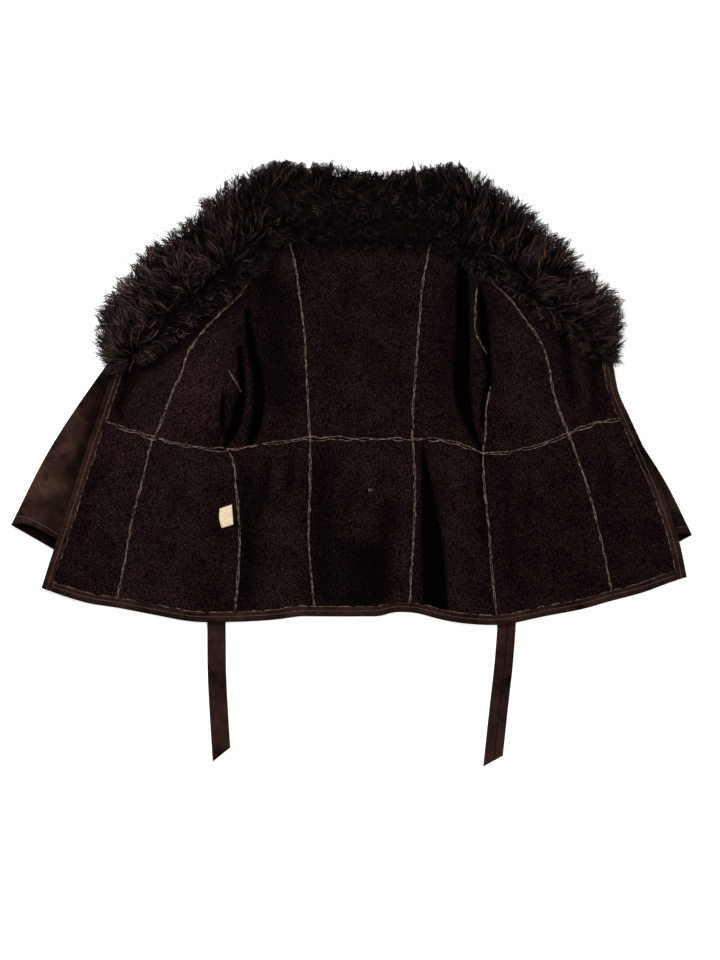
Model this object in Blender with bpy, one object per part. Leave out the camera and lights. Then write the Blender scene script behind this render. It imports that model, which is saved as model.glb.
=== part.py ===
"""Shearling coat laid open on its back, fleece side up, with a spread fur collar and a loose belt.

Every table is in millimetres, drawn on the laid-out coat: x is measured from the centre back line,
towards the wearer's left, and y upwards from the waist line. `build` ends by moving the coat so
that the middle of its outline lies over the origin, on the floor at z = 0.
"""

import bmesh
import bpy
import math
import numpy as np
from mathutils import Vector
from mathutils.bvhtree import BVHTree

MM = 0.001

# Driving dimensions
WALL = 6.0  # shearling: hide with its sheared fleece
SEAM_GAP = 0.4  # between two panels that are sewn together
WAIST_GAP = 1.0  # between bodice and skirt, whose panels end at different points
REST_GAP = 0.35  # between a piece and what it lies on
BAND_WIDTH = 19.0  # the strip of suede turned up along the hem and the front edges
BAND_THICK = 2.4
BELT_WIDTH = 37.0
BELT_THICK = 2.6
SLEEVE_WALL = 5.0
FUR_DEEP = 30.0  # the collar's fur over its hide, at the middle of its width
FUR_EDGE = 9.0  # and at its edges
LABEL_THICK = 0.9

# Seams of the bodice, from the neck down to the waist. "right" is the wearer's right, at -x.
BODICE_SEAMS = {
    "front_edge_right": [(-484, 172), (-508, 100), (-527, 46)],
    "front_princess_right": [
        (-212, 336), (-245, 287), (-283, 251), (-322, 208), (-342, 180), (-359, 133), (-376, 96), (-412, 8),
    ],
    "armhole_right": [
        (-165, 408), (-178, 350), (-196, 300), (-213, 258), (-231, 226), (-246, 192), (-258, 150),
        (-276, 106), (-281, 54), (-284, 16), (-290, -18),
    ],
    "back_princess_right": [(-147, 410), (-132, 346), (-122, 278), (-114, 208), (-110, 132), (-103, 2)],
    "back_princess_left": [(142, 408), (123, 316), (115, 228), (109, 152), (104, 74), (102, 0)],
    "armhole_left": [
        (214, 366), (232, 322), (248, 284), (257, 228), (265, 194), (266, 124), (256, 98), (247, 60),
        (248, 14), (243, -26),
    ],
    "front_princess_left": [
        (250, 340), (264, 312), (293, 284), (326, 240), (363, 184), (376, 131), (386, 84), (412, 12),
    ],
    "front_edge_left": [(497, 172), (503, 140), (512, 95), (534, 44)],
}

# The same seams in the skirt, from the waist down to the hem, with the side seams under the armholes.
SKIRT_SEAMS = {
    "front_edge_right": [(-527, 44), (-564, -66), (-597, -172), (-639, -296)],
    "front_princess_right": [(-417, 4), (-438, -84), (-459, -164), (-475, -252), (-493, -334)],
    "side_right": [(-267, -20), (-257, -40), (-251, -90), (-245, -152), (-245, -240), (-255, -362)],
    "back_princess_right": [(-103, 2), (-103, -82), (-105, -204), (-97, -306), (-93, -352)],
    "back_princess_left": [(103, 0), (107, -102), (104, -204), (98, -286), (97, -344)],
    "side_left": [(243, -26), (245, -87), (253, -164), (259, -240), (272, -369)],
    "front_princess_left": [(413, 12), (439, -60), (461, -133), (481, -214), (502, -320)],
    "front_edge_left": [(534, 44), (561, -14), (599, -102), (631, -198), (649, -274)],
}

# Neck end of each bodice panel, between the tops of its two seams
NECK_EDGES = {
    "front_centre_upper_right": [(-440, 181), (-390, 216), (-335, 254), (-285, 298)],
    "front_side_upper_right": [(-190, 376)],
    "back_side_upper_right": [(-156, 410)],
    "back_centre_upper": [(0, 412)],
    "back_side_upper_left": [(182, 390)],
    "front_side_upper_left": [],
    "front_centre_upper_left": [(296, 328), (346, 288), (392, 248), (440, 220)],
}

WAIST = [
    (-527, 45), (-475, 24), (-417, 5), (-325, -15), (-267, -20), (-201, -9), (-105, 2), (0, 2),
    (103, 1), (167, -1), (215, -15), (243, -26), (293, -24), (363, -8), (412, 12), (465, 32), (534, 45),
]

HEM = [
    (-639, -296), (-539, -327), (-493, -334), (-409, -350), (-341, -362), (-255, -363), (-168, -358),
    (-120, -352), (-93, -352), (0, -352), (37, -351), (65, -344), (97, -344), (167, -360), (207, -366),
    (272, -369), (370, -351), (447, -336), (502, -320), (561, -304), (619, -283), (649, -274),
]

# Panels in order across the coat: seam on the wearer's right, seam on the left, columns
BODICE_PANELS = [
    ("front_centre_upper_right", "front_edge_right", "front_princess_right", 8),
    ("front_side_upper_right", "front_princess_right", "armhole_right", 8),
    ("back_side_upper_right", "armhole_right", "back_princess_right", 11),
    ("back_centre_upper", "back_princess_right", "back_princess_left", 7),
    ("back_side_upper_left", "back_princess_left", "armhole_left", 11),
    ("front_side_upper_left", "armhole_left", "front_princess_left", 8),
    ("front_centre_upper_left", "front_princess_left", "front_edge_left", 8),
]
SKIRT_PANELS = [
    ("front_centre_skirt_right", "front_edge_right", "front_princess_right", 5),
    ("front_side_skirt_right", "front_princess_right", "side_right", 7),
    ("back_side_skirt_right", "side_right", "back_princess_right", 7),
    ("back_centre_skirt", "back_princess_right", "back_princess_left", 11),
    ("back_side_skirt_left", "back_princess_left", "side_left", 8),
    ("front_side_skirt_left", "side_left", "front_princess_left", 7),
    ("front_centre_skirt_left", "front_princess_left", "front_edge_left", 5),
]
BODICE_ROWS = 13
SKIRT_ROWS = 10
SKIRT_DEEP = 345.0  # from waist to hem, for the share that the turned hem takes
SHARP_ANGLE = 40.0  # degrees between two faces, over which their edge is shaded sharp

# Largest folds: the line of each ridge, its half width and its height. A ridge fades over a share of
# its length at each end, down to a share of its height.
RIDGE_SPREAD = 1.6  # foot of the ridge, in half widths
RIDGE_FADE = 0.16
RIDGE_END = 0.35
RIDGE_POINTS = 16
RIDGES = [
    # the front rolls over at each armhole
    ([(-209, 268), (-226, 226), (-250, 150), (-274, 104), (-284, 50), (-300, 0)], 26, 25),
    ([(246, 318), (262, 270), (270, 180), (266, 90), (262, 30)], 24, 21),
    # flaps that stand beside the slots between front and back
    ([(-221, 226), (-223, 180), (-222, 130), (-226, 60), (-236, -6)], 13, 21),
    ([(-187, 240), (-184, 180), (-180, 110), (-180, 50), (-196, -4)], 24, 14),
    ([(-262, 112), (-258, 80), (-266, 40)], 13, 13),
    ([(176, 352), (179, 270), (180, 200), (180, 90), (192, 20), (214, -28)], 20, 19),
    ([(224, 330), (224, 240), (230, 160), (238, 90), (246, 10)], 13, 19),
    # skirt
    ([(74, -80), (64, -160), (56, -250), (50, -345)], 24, 12),
    ([(150, -14), (172, -90), (186, -200), (200, -372)], 30, 19),
    ([(84, -30), (82, -140), (80, -344)], 17, 8),
    ([(-189, -30), (-205, -130), (-225, -260)], 24, 6),
    ([(-135, -36), (-147, -120)], 18, 5),
    ([(-330, -60), (-345, -200), (-372, -352)], 34, 9),
    ([(330, -60), (352, -200), (372, -352)], 34, 9),
    ([(455, -10), (500, -130), (545, -250)], 30, 7),
    ([(401, 250), (414, 150), (423, 70)], 26, 8),
]

# Belt: the line of its middle from the tip at the wearer's right to the folded corner, and its other end
BELT_END_RIGHT = [(-280, -629), (-285, -550), (-289, -470), (-290, -380), (-291, -200), (-292, -60)]
BELT_END_LEFT = [(290, -60), (290, -200), (290, -370), (284, -450), (275, -530), (263, -642)]
BELT_CORNER_RIGHT = (-292, 0)
BELT_RUN_END = 290.0  # x of the middle of the belt where it turns down at the wearer's left
BELT_TURN_RADIUS = 34.0
BELT_TURN_STEPS = 6
BELT_RUN_STATIONS = 7
BELT_END_STATIONS = 14
BELT_TIP_SLANT = 13.0  # half the difference in length between the two edges at each tip
BELT_LIFT_AT_FOLD = 0.3
BELT_RISE = [(22.1, 0.45), (3.4, 1.0)]  # before the fold: distance, share of the lift
BELT_FOLD_BULGE = 0.7  # how far the fold stands out, in thicknesses
BELT_FOLD_RUN = 12.0  # from the fold to the first flat section after it

# Sleeves: the folded edges on either side of each, from the cuff up to the armhole
SLEEVES = {
    "sleeve_right": {
        "outer": [(-700, -170), (-627, -26), (-515, 142), (-400, 290), (-262, 362)],
        "inner": [(-571, -244), (-485, -95), (-385, 40), (-283, 112)],
    },
    "sleeve_left": {
        "outer": [(660, -190), (606, -82), (555, 0), (470, 152), (384, 280), (296, 352)],
        "inner": [(530, -262), (440, -110), (362, 30), (286, 112)],
    },
}
SLEEVE_STATIONS = 12
SLEEVE_SIDES = 18
SLEEVE_HEIGHTS = [(0.0, 31.0), (0.12, 27.0), (0.45, 23.0), (1.0, 23.0)]  # share of the length, height
CUFF_SLANT = 22.0  # how far the upper wall's cuff edge stands back from the lower one's
CUFF_REACH = 0.25  # share of the sleeve's length over which that slant dies away
# Powers that shape a sleeve's section: the spacing of its sides, its flat base and its low arch
SECTION_SIDE = 0.75
SECTION_BASE = 0.35
SECTION_ARCH = 0.8

# Collar: a row for each section, outer edge then neck edge
COLLAR = [
    (-512, 150, -446, 156),
    (-532, 190, -428, 168),
    (-531, 246, -393, 197),
    (-504, 300, -337, 234),
    (-468, 346, -291, 277),
    (-417, 400, -252, 303),
    (-352, 454, -222, 325),
    (-300, 503, -199, 356),
    (-222, 536, -172, 397),
    (-150, 550, -112, 400),
    (0, 537, 0, 397),
    (120, 537, 112, 398),
    (200, 539, 166, 384),
    (268, 514, 200, 360),
    (324, 476, 233, 335),
    (380, 422, 287, 315),
    (440, 362, 325, 284),
    (497, 305, 365, 250),
    (525, 250, 391, 231),
    (529, 198, 435, 203),
    (515, 150, 478, 160),
]
COLLAR_PIECES = [("collar_right", 0, 8), ("collar_back", 8, 12), ("collar_left", 12, 20)]
COLLAR_ROWS = 6
FUR_SWELL = 0.6  # power of the fur's rounding across its width
FUR_MARGIN = 0.05  # share of the width by which that rounding stands back from each edge
FUR_AT_TIPS = 0.5  # share of the depth left at the two front corners

LABEL_CORNERS = [(-283, -137), (-259, -129), (-256, -169), (-279, -176)]

# The height map that a layer lies on
MAP_CELL = 8.0
ON_FLOOR = 0.05  # a sheet lower than this lies on the floor
MAP_X = (-760.0, 720.0)
MAP_Y = (-700.0, 620.0)
DRAPE_REACH = 42.0
DRAPE_SLOPE = 0.42
BELT_SLOPE = 0.12

ROUGHNESS = 0.95
COLOURS = {
    "fleece": (0.016, 0.0085, 0.0075, 1.0),
    "suede": (0.045, 0.022, 0.015, 1.0),
    "fur": (0.014, 0.008, 0.007, 1.0),
    "label": (0.55, 0.46, 0.33, 1.0),
}


def clear_scene():
    for obj in list(bpy.data.objects):
        bpy.data.objects.remove(obj, do_unlink=True)


def material(name):
    made = bpy.data.materials.get(name)
    if made is None:
        made = bpy.data.materials.new(name)
        made.use_nodes = True
        shader = made.node_tree.nodes["Principled BSDF"]
        shader.inputs["Base Color"].default_value = COLOURS[name]
        shader.inputs["Roughness"].default_value = ROUGHNESS
    return made


def add_object(name, bm, finish, collection):
    """The finished bmesh as an object of this name, its faces turned out."""
    bmesh.ops.recalc_face_normals(bm, faces=bm.faces)
    mesh = bpy.data.meshes.new(name)
    bm.to_mesh(mesh)
    bm.free()
    mesh.materials.append(material(finish))
    mesh.shade_smooth()
    mesh.set_sharp_from_angle(angle=math.radians(SHARP_ANGLE))
    obj = bpy.data.objects.new(name, mesh)
    collection.objects.link(obj)
    return obj


def curve(points, shares):
    """Points on a smooth curve through the given ones, at these shares of its length."""
    p = np.array(points, float)
    if len(p) == 2:
        return p[0] + (p[1] - p[0]) * np.asarray(shares)[:, None]
    along = np.concatenate([[0.0], np.cumsum(np.linalg.norm(np.diff(p, axis=0), axis=1))])
    along /= along[-1]
    slope = np.gradient(p, along, axis=0)
    at = np.clip(np.asarray(shares, float), 0.0, 1.0)
    k = np.clip(np.searchsorted(along, at, side="right") - 1, 0, len(p) - 2)
    step = (along[k + 1] - along[k])[:, None]
    t = ((at - along[k]) / (along[k + 1] - along[k]))[:, None]
    return (
        (2 * t**3 - 3 * t**2 + 1) * p[k]
        + (t**3 - 2 * t**2 + t) * step * slope[k]
        + (-2 * t**3 + 3 * t**2) * p[k + 1]
        + (t**3 - t**2) * step * slope[k + 1]
    )


def height_on(line, x):
    """The y of a line that runs across the coat, at each x."""
    fine = curve(line, np.linspace(0, 1, 400))
    return np.interp(x, fine[:, 0], fine[:, 1])


def between(line, start, end, shares):
    """Points of a line that runs across the coat, between two x, at these shares."""
    x = start[0] + (end[0] - start[0]) * shares
    return np.stack([x, height_on(line, x)], axis=-1)


def snapped(seam, top_line, bottom_line):
    """A seam with its ends moved up or down onto the lines that it runs between."""
    first, *middle, last = seam
    if top_line is not None:
        first = (first[0], float(height_on(top_line, first[0])))
    last = (last[0], float(height_on(bottom_line, last[0])))
    return [first, *middle, last]


def distance_to(line, x, y):
    """Distance from each point (x, y) to a polyline, and the share of the polyline it falls at."""
    p = np.array(line, float)
    lengths = np.linalg.norm(np.diff(p, axis=0), axis=1)
    starts = np.concatenate([[0.0], np.cumsum(lengths)[:-1]])
    best = np.full(np.shape(x), 1e9)
    share = np.zeros(np.shape(x))
    for a, b, length, start in zip(p[:-1], p[1:], lengths, starts):
        t = np.clip(((x - a[0]) * (b[0] - a[0]) + (y - a[1]) * (b[1] - a[1])) / length**2, 0, 1)
        d = np.hypot(x - a[0] - t * (b[0] - a[0]), y - a[1] - t * (b[1] - a[1]))
        nearer = d < best
        best = np.where(nearer, d, best)
        share = np.where(nearer, (start + t * length) / lengths.sum(), share)
    return best, share


def fold_height(x, y):
    """Height of the folds at (x, y): each ridge is a rounded bump that dies away at its two ends."""
    height = np.zeros(np.shape(x))
    for line, half_width, top in RIDGES:
        d, share = distance_to(curve(line, np.linspace(0, 1, RIDGE_POINTS)), x, y)
        across = np.cos(np.clip(d / (RIDGE_SPREAD * half_width), 0, 1) * math.pi / 2) ** 2
        ends = np.sin(np.clip(np.minimum(share, 1 - share) / RIDGE_FADE, 0, 1) * math.pi / 2)
        height = np.maximum(height, top * across * (RIDGE_END + (1 - RIDGE_END) * ends))
    return height


class HeightMap:
    """How high a sheet lies over the pieces below it. It bridges them and slopes down beside them."""

    def __init__(self, below, reach, slope):
        self.x = np.arange(*MAP_X, MAP_CELL)
        self.y = np.arange(*MAP_Y, MAP_CELL)
        self.z = np.zeros((len(self.x), len(self.y)))
        for obj in below:
            self.add(obj)
        flat = self.spread(self.z, reach, 0.0)
        far = flat.max() / slope + MAP_CELL
        self.z = self.spread(flat, far, slope)

    def add(self, obj):
        tree = BVHTree.FromPolygons(
            [v.co for v in obj.data.vertices], [list(f.vertices) for f in obj.data.polygons]
        )
        corners = np.array([v.co for v in obj.data.vertices]) / MM
        low = corners.min(axis=0)
        high = corners.max(axis=0)
        for i in np.flatnonzero((self.x >= low[0]) & (self.x <= high[0])):
            for j in np.flatnonzero((self.y >= low[1]) & (self.y <= high[1])):
                start = Vector((self.x[i] * MM, self.y[j] * MM, 1.0))
                hit = tree.ray_cast(start, Vector((0, 0, -1)))[0]
                if hit is not None:
                    self.z[i, j] = max(self.z[i, j], hit.z / MM)

    @staticmethod
    def spread(z, radius, slope):
        """The highest of all cells within the radius, each lowered by the slope to it."""
        steps = int(math.ceil(radius / MAP_CELL))
        grown = z.copy()
        padded = np.pad(z, steps)
        rows, columns = z.shape
        for i in range(-steps, steps + 1):
            for j in range(-steps, steps + 1):
                d = math.hypot(i, j) * MAP_CELL
                if d <= radius:
                    part = padded[steps + i : steps + i + rows, steps + j : steps + j + columns]
                    grown = np.maximum(grown, part - slope * d)
        return grown

    def at(self, x, y):
        i = np.clip((np.asarray(x) - self.x[0]) / MAP_CELL, 0, len(self.x) - 1.001)
        j = np.clip((np.asarray(y) - self.y[0]) / MAP_CELL, 0, len(self.y) - 1.001)
        i0 = i.astype(int)
        j0 = j.astype(int)
        fi = i - i0
        fj = j - j0
        z = self.z
        return (
            z[i0, j0] * (1 - fi) * (1 - fj)
            + z[i0 + 1, j0] * fi * (1 - fj)
            + z[i0, j0 + 1] * (1 - fi) * fj
            + z[i0 + 1, j0 + 1] * fi * fj
        )


def inward(edge, inside):
    """Unit vectors square to an edge's points, towards the row of points inside it."""
    along = np.gradient(edge, axis=0)
    square = np.stack([-along[:, 1], along[:, 0]], axis=-1)
    square /= np.linalg.norm(square, axis=1, keepdims=True)
    side = np.sign(np.sum((inside - edge) * square, axis=1, keepdims=True))
    return square * side


def draw_in(grid, ends=()):
    """The grid with its two seams, and these end rows, moved inwards by half a gap."""
    drawn = grid.copy()
    for inside, edge in ((1, 0), (-2, -1)):
        drawn[edge] += inward(grid[edge], grid[inside]) * SEAM_GAP / 2
    for edge in ends:
        inside = 1 if edge == 0 else -2
        drawn[:, edge] += inward(grid[:, edge], grid[:, inside]) * WAIST_GAP / 2
    return drawn


def slab(name, grid, under, thickness, finish, collection):
    """A sheet over a grid of (x, y): its underside at the given heights, its top that much higher."""
    columns, rows = grid.shape[:2]
    bm = bmesh.new()
    bmesh.ops.create_grid(bm, x_segments=columns - 1, y_segments=rows - 1, size=1.0)
    thick = np.broadcast_to(thickness, under.shape)
    raised_by = {}
    for vert in bm.verts:
        i = round((vert.co.x + 1) / 2 * (columns - 1))
        j = round((vert.co.y + 1) / 2 * (rows - 1))
        vert.co = Vector((*grid[i, j], under[i, j])) * MM
        raised_by[tuple(vert.co)] = thick[i, j] * MM
    grown = bmesh.ops.extrude_face_region(bm, geom=list(bm.faces))["geom"]
    for vert in (g for g in grown if isinstance(g, bmesh.types.BMVert)):
        vert.co.z += raised_by[tuple(vert.co)]
    return add_object(name, bm, finish, collection)


def loft(name, rings, finish, collection):
    """A skin through rings of points, closed at both ends."""
    bm = bmesh.new()
    verts = [[bm.verts.new(Vector(p) * MM) for p in ring] for ring in rings]
    count = len(rings[0])
    for a, b in zip(verts[:-1], verts[1:]):
        for k in range(count):
            bm.faces.new((a[k], a[(k + 1) % count], b[(k + 1) % count], b[k]))
    bm.faces.new(verts[0])
    bm.faces.new(reversed(verts[-1]))
    return add_object(name, bm, finish, collection)


def shares_with_band(count, band_first=0.0, band_last=0.0):
    """Even shares from 0 to 1, with one of them where a turned band of this share ends."""
    even = np.linspace(band_first, 1 - band_last, count + 1 - bool(band_first) - bool(band_last))
    return np.concatenate([[0.0] if band_first else [], even, [1.0] if band_last else []])


def panel_grid(name, seams, right_seam, left_seam, columns, top_line, bottom_line):
    """The (x, y) grid of a panel between its two seams."""
    hemmed = top_line is not None
    down = shares_with_band(
        SKIRT_ROWS if hemmed else BODICE_ROWS, band_last=BAND_WIDTH / SKIRT_DEEP if hemmed else 0.0
    )
    left = curve(snapped(seams[right_seam], top_line, bottom_line), down)
    right = curve(snapped(seams[left_seam], top_line, bottom_line), down)
    band = BAND_WIDTH / np.linalg.norm(right - left, axis=1).mean()
    across = shares_with_band(
        columns,
        band_first=band if right_seam.startswith("front_edge") else 0.0,
        band_last=band if left_seam.startswith("front_edge") else 0.0,
    )
    if top_line is None:
        top = curve([tuple(left[0]), *NECK_EDGES[name], tuple(right[0])], across)
    else:
        top = between(top_line, left[0], right[0], across)
    bottom = between(bottom_line, left[-1], right[-1], across)
    u = across[:, None, None]
    v = down[None, :, None]
    ruled = (1 - u) * left[None] + u * right[None] + (1 - v) * top[:, None] + v * bottom[:, None]
    corners = (
        (1 - u) * (1 - v) * left[0] + u * (1 - v) * right[0] + (1 - u) * v * left[-1] + u * v * right[-1]
    )
    return draw_in(ruled - corners, ends=(0,) if hemmed else (-1,))


def add_panel(name, grid, lift, collection):
    """A shearling panel, and the grid of its top side."""
    x, y = grid[..., 0], grid[..., 1]
    under = np.maximum(lift.at(x, y), fold_height(x, y))
    under = np.where(lift.at(x, y) > ON_FLOOR, under + REST_GAP, under)
    obj = slab(name, grid, under, WALL, "fleece", collection)
    return obj, np.concatenate([grid, (under + WALL)[..., None]], axis=-1)


def add_band(name, strip, collection):
    """A turned band of suede on a strip of a panel's own points."""
    return slab(name, strip[..., :2], strip[..., 2] + REST_GAP, BAND_THICK, "suede", collection)


def belt_section(a, b, low, flipped=False):
    """Four corners of the belt between its edges a and b. `flipped` is the part that shows its back."""
    if flipped:
        return [(*a, low + BELT_THICK), (*b, low + BELT_THICK), (*b, low), (*a, low)]
    return [(*a, low), (*b, low), (*b, low + BELT_THICK), (*a, low + BELT_THICK)]


def directions(points):
    """Unit vectors along a line of points, one at each."""
    p = np.array(points, float)
    d = np.gradient(p, axis=0)
    return d / np.linalg.norm(d, axis=1, keepdims=True)


def belt_end(line, tip, flipped):
    """Sections of a hanging end of the belt. Its tip, the section of that number, is cut at a slant."""
    points = curve(line, np.linspace(0, 1, BELT_END_STATIONS))
    sections = []
    for k, (point, direction) in enumerate(zip(points, directions(points))):
        side = np.array([-direction[1], direction[0]]) * BELT_WIDTH / 2 * (-1 if flipped else 1)
        lean = direction * (BELT_TIP_SLANT if k == tip else 0.0) * (1 if flipped else -1)
        sections.append(belt_section(point + side + lean, point - side - lean, 0.0, flipped))
    return sections


def add_belt(collection):
    """The belt: right tip, up to the folded corner, across under the waist, down to the left tip."""
    half = BELT_WIDTH / 2
    over = BELT_THICK + BELT_LIFT_AT_FOLD
    x, y = BELT_CORNER_RIGHT
    rings = belt_end(BELT_END_RIGHT, 0, False)
    for before, share in BELT_RISE:
        level = y - half - before
        rings.append(belt_section((x - half, level), (x + half, level), over * share))
    # the fold runs across the corner, and the belt comes back under itself with its back up
    inner, outer = np.array((x - half, y - half)), np.array((x + half, y + half))
    bulge = np.array((-1, 1)) * BELT_THICK * BELT_FOLD_BULGE
    rings.append(belt_section(inner, outer, over))
    rings.append([(*inner, over), (*outer, over), (*(outer + bulge), over), (*(inner + bulge), over)])
    rings.append(belt_section(inner, outer, 0.0, True))
    run_to = BELT_RUN_END - BELT_TURN_RADIUS
    for at in np.linspace(x + half + BELT_FOLD_RUN, run_to, BELT_RUN_STATIONS):
        rings.append(belt_section((at, y - half), (at, y + half), 0.0, True))
    centre = np.array((run_to, y - BELT_TURN_RADIUS))
    for angle in np.linspace(0, math.pi / 2, BELT_TURN_STEPS + 1)[1:]:
        ray = np.array((math.sin(angle), math.cos(angle)))
        near, far = centre + ray * (BELT_TURN_RADIUS - half), centre + ray * (BELT_TURN_RADIUS + half)
        rings.append(belt_section(near, far, 0.0, True))
    rings += belt_end(BELT_END_LEFT, BELT_END_STATIONS - 1, True)
    return loft("belt", rings, "suede", collection)


def sleeve_ring(middle, half, height, wall, slant):
    """One section of a flattened sleeve: a flat base and a low arch. `slant` pulls the arch back."""
    ring = []
    reach = np.linalg.norm(half)
    for k in range(SLEEVE_SIDES):
        turn = 2 * math.pi * k / SLEEVE_SIDES
        side = math.copysign(abs(math.cos(turn)) ** SECTION_SIDE, math.cos(turn)) * (1 - wall / reach)
        rise = math.sin(turn)
        if rise < 0:
            z = wall + (height / 2 - wall) * (1 - abs(rise) ** SECTION_BASE)
        else:
            z = height / 2 + (height / 2 - wall) * rise**SECTION_ARCH
        ring.append((*(middle + half * side + slant * max(rise, 0.0)), z))
    return ring


def add_sleeve(name, edges, collection):
    """A sleeve lying flat: a tube open at the cuff and at the armhole."""
    shares = np.linspace(0, 1, SLEEVE_STATIONS)
    outer_edge, inner_edge = curve(edges["outer"], shares), curve(edges["inner"], shares)
    middle, halves = (outer_edge + inner_edge) / 2, (outer_edge - inner_edge) / 2
    table = np.array(SLEEVE_HEIGHTS)
    skins = []
    for wall in (0.0, SLEEVE_WALL):
        for share, centre, half, axis in zip(shares, middle, halves, directions(middle)):
            height = float(np.interp(share, table[:, 0], table[:, 1]))
            slant = axis * CUFF_SLANT * max(0.0, 1 - share / CUFF_REACH)
            skins.append(sleeve_ring(centre, half, height, wall, slant))
    outside, lining = skins[:SLEEVE_STATIONS], skins[SLEEVE_STATIONS:]
    bm = bmesh.new()
    rings = [[bm.verts.new(Vector(p) * MM) for p in ring] for ring in outside + lining[::-1]]
    for a, b in zip(rings, rings[1:] + rings[:1]):
        for k in range(SLEEVE_SIDES):
            after = (k + 1) % SLEEVE_SIDES
            bm.faces.new((a[k], a[after], b[after], b[k]))
    return add_object(name, bm, "suede", collection)


def add_collar(name, first, last, lift, collection):
    """A piece of the fur collar: a plain solid of the fur's reach, lying on what is under it."""
    stations = np.linspace(first, last, (last - first) * 2 + 1)
    table = np.array(COLLAR, float)
    shares = stations / (len(table) - 1)
    along = np.linspace(0, 1, len(table))
    outer = np.stack([np.interp(shares, along, table[:, k]) for k in (0, 1)], axis=-1)
    neck = np.stack([np.interp(shares, along, table[:, k]) for k in (2, 3)], axis=-1)
    v = np.linspace(0, 1, COLLAR_ROWS + 1)
    grid = outer[:, None] * (1 - v)[None, :, None] + neck[:, None] * v[None, :, None]
    grid = draw_in(grid)
    x, y = grid[..., 0], grid[..., 1]
    under = lift.at(x, y)
    under = np.where(under > ON_FLOOR, under + REST_GAP, under)
    swell = np.sin(math.pi * (v * (1 - 2 * FUR_MARGIN) + FUR_MARGIN)) ** FUR_SWELL
    tips = np.ones(len(stations))
    if first == 0:
        tips[0] = FUR_AT_TIPS
    if last == len(table) - 1:
        tips[-1] = FUR_AT_TIPS
    thickness = FUR_EDGE + (FUR_DEEP - FUR_EDGE) * swell[None, :] * tips[:, None]
    return slab(name, grid, under, thickness, "fur", collection)


def add_label(panel_top, collection):
    """The small care label, on the panel beside the wearer's right side seam."""
    corners = np.array(LABEL_CORNERS, float)
    u = np.linspace(0, 1, 3)[:, None, None]
    v = np.linspace(0, 1, 4)[None, :, None]
    grid = (1 - v) * ((1 - u) * corners[0] + u * corners[1]) + v * ((1 - u) * corners[3] + u * corners[2])
    under = panel_top.at(grid[..., 0], grid[..., 1]) + REST_GAP
    return slab("care_label", grid, under, LABEL_THICK, "label", collection)


def settle(objects):
    """Moves the coat so that the middle of its outline is over the origin and its lowest point at z = 0."""
    corners = np.array([v.co for obj in objects for v in obj.data.vertices])
    low, high = corners.min(axis=0), corners.max(axis=0)
    shift = Vector((-(low[0] + high[0]) / 2, -(low[1] + high[1]) / 2, -low[2]))
    for obj in objects:
        for vert in obj.data.vertices:
            vert.co += shift
    print("centre back of the waist at", [round(s / MM, 2) for s in shift])


def build():
    clear_scene()
    collection = bpy.data.collections.new("shearling_coat")
    bpy.context.scene.collection.children.link(collection)
    made = [add_belt(collection)]

    on_belt = HeightMap(made, DRAPE_REACH, BELT_SLOPE)
    made += [add_sleeve(name, line, collection) for name, line in SLEEVES.items()]
    on_sleeves = HeightMap(made, DRAPE_REACH, DRAPE_SLOPE)

    tops = {}
    for panels, seams, top_line, bottom_line in (
        (BODICE_PANELS, BODICE_SEAMS, None, WAIST),
        (SKIRT_PANELS, SKIRT_SEAMS, WAIST, HEM),
    ):
        for name, right_seam, left_seam, columns in panels:
            grid = panel_grid(name, seams, right_seam, left_seam, columns, top_line, bottom_line)
            lift = on_belt if name.startswith("back") else on_sleeves
            obj, tops[name] = add_panel(name, grid, lift, collection)
            made.append(obj)

    for name, *_ in SKIRT_PANELS:
        made.append(add_band(name.replace("skirt", "hem_band"), tops[name][:, -2:], collection))
    for name in ("front_centre_upper_right", "front_centre_skirt_right"):
        stop = -1 if "skirt" in name else None
        made.append(add_band(name.replace("front_centre", "edge_band"), tops[name][:2, :stop], collection))
    for name in ("front_centre_upper_left", "front_centre_skirt_left"):
        stop = -1 if "skirt" in name else None
        made.append(add_band(name.replace("front_centre", "edge_band"), tops[name][-2:, :stop], collection))

    label_panel = [obj for obj in made if obj.name == "front_side_skirt_right"]
    made.append(add_label(HeightMap(label_panel, MAP_CELL, DRAPE_SLOPE), collection))

    on_coat = HeightMap(made, DRAPE_REACH, DRAPE_SLOPE)
    for name, first, last in COLLAR_PIECES:
        made.append(add_collar(name, first, last, on_coat, collection))
    settle(made)


build()
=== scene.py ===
"""Shearling coat laid open on its back: fleece panels, raw seam edges, fur collar, sleeves and belt.

Tables are in millimetres, drawn on the laid-out coat: x from the centre back line, towards the
wearer's left, and y upwards from the waist line. `placed` turns them into the frame's metres.
"""

import math

import bmesh
import bpy
import numpy as np
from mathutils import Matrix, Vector
from mathutils.bvhtree import BVHTree


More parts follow.
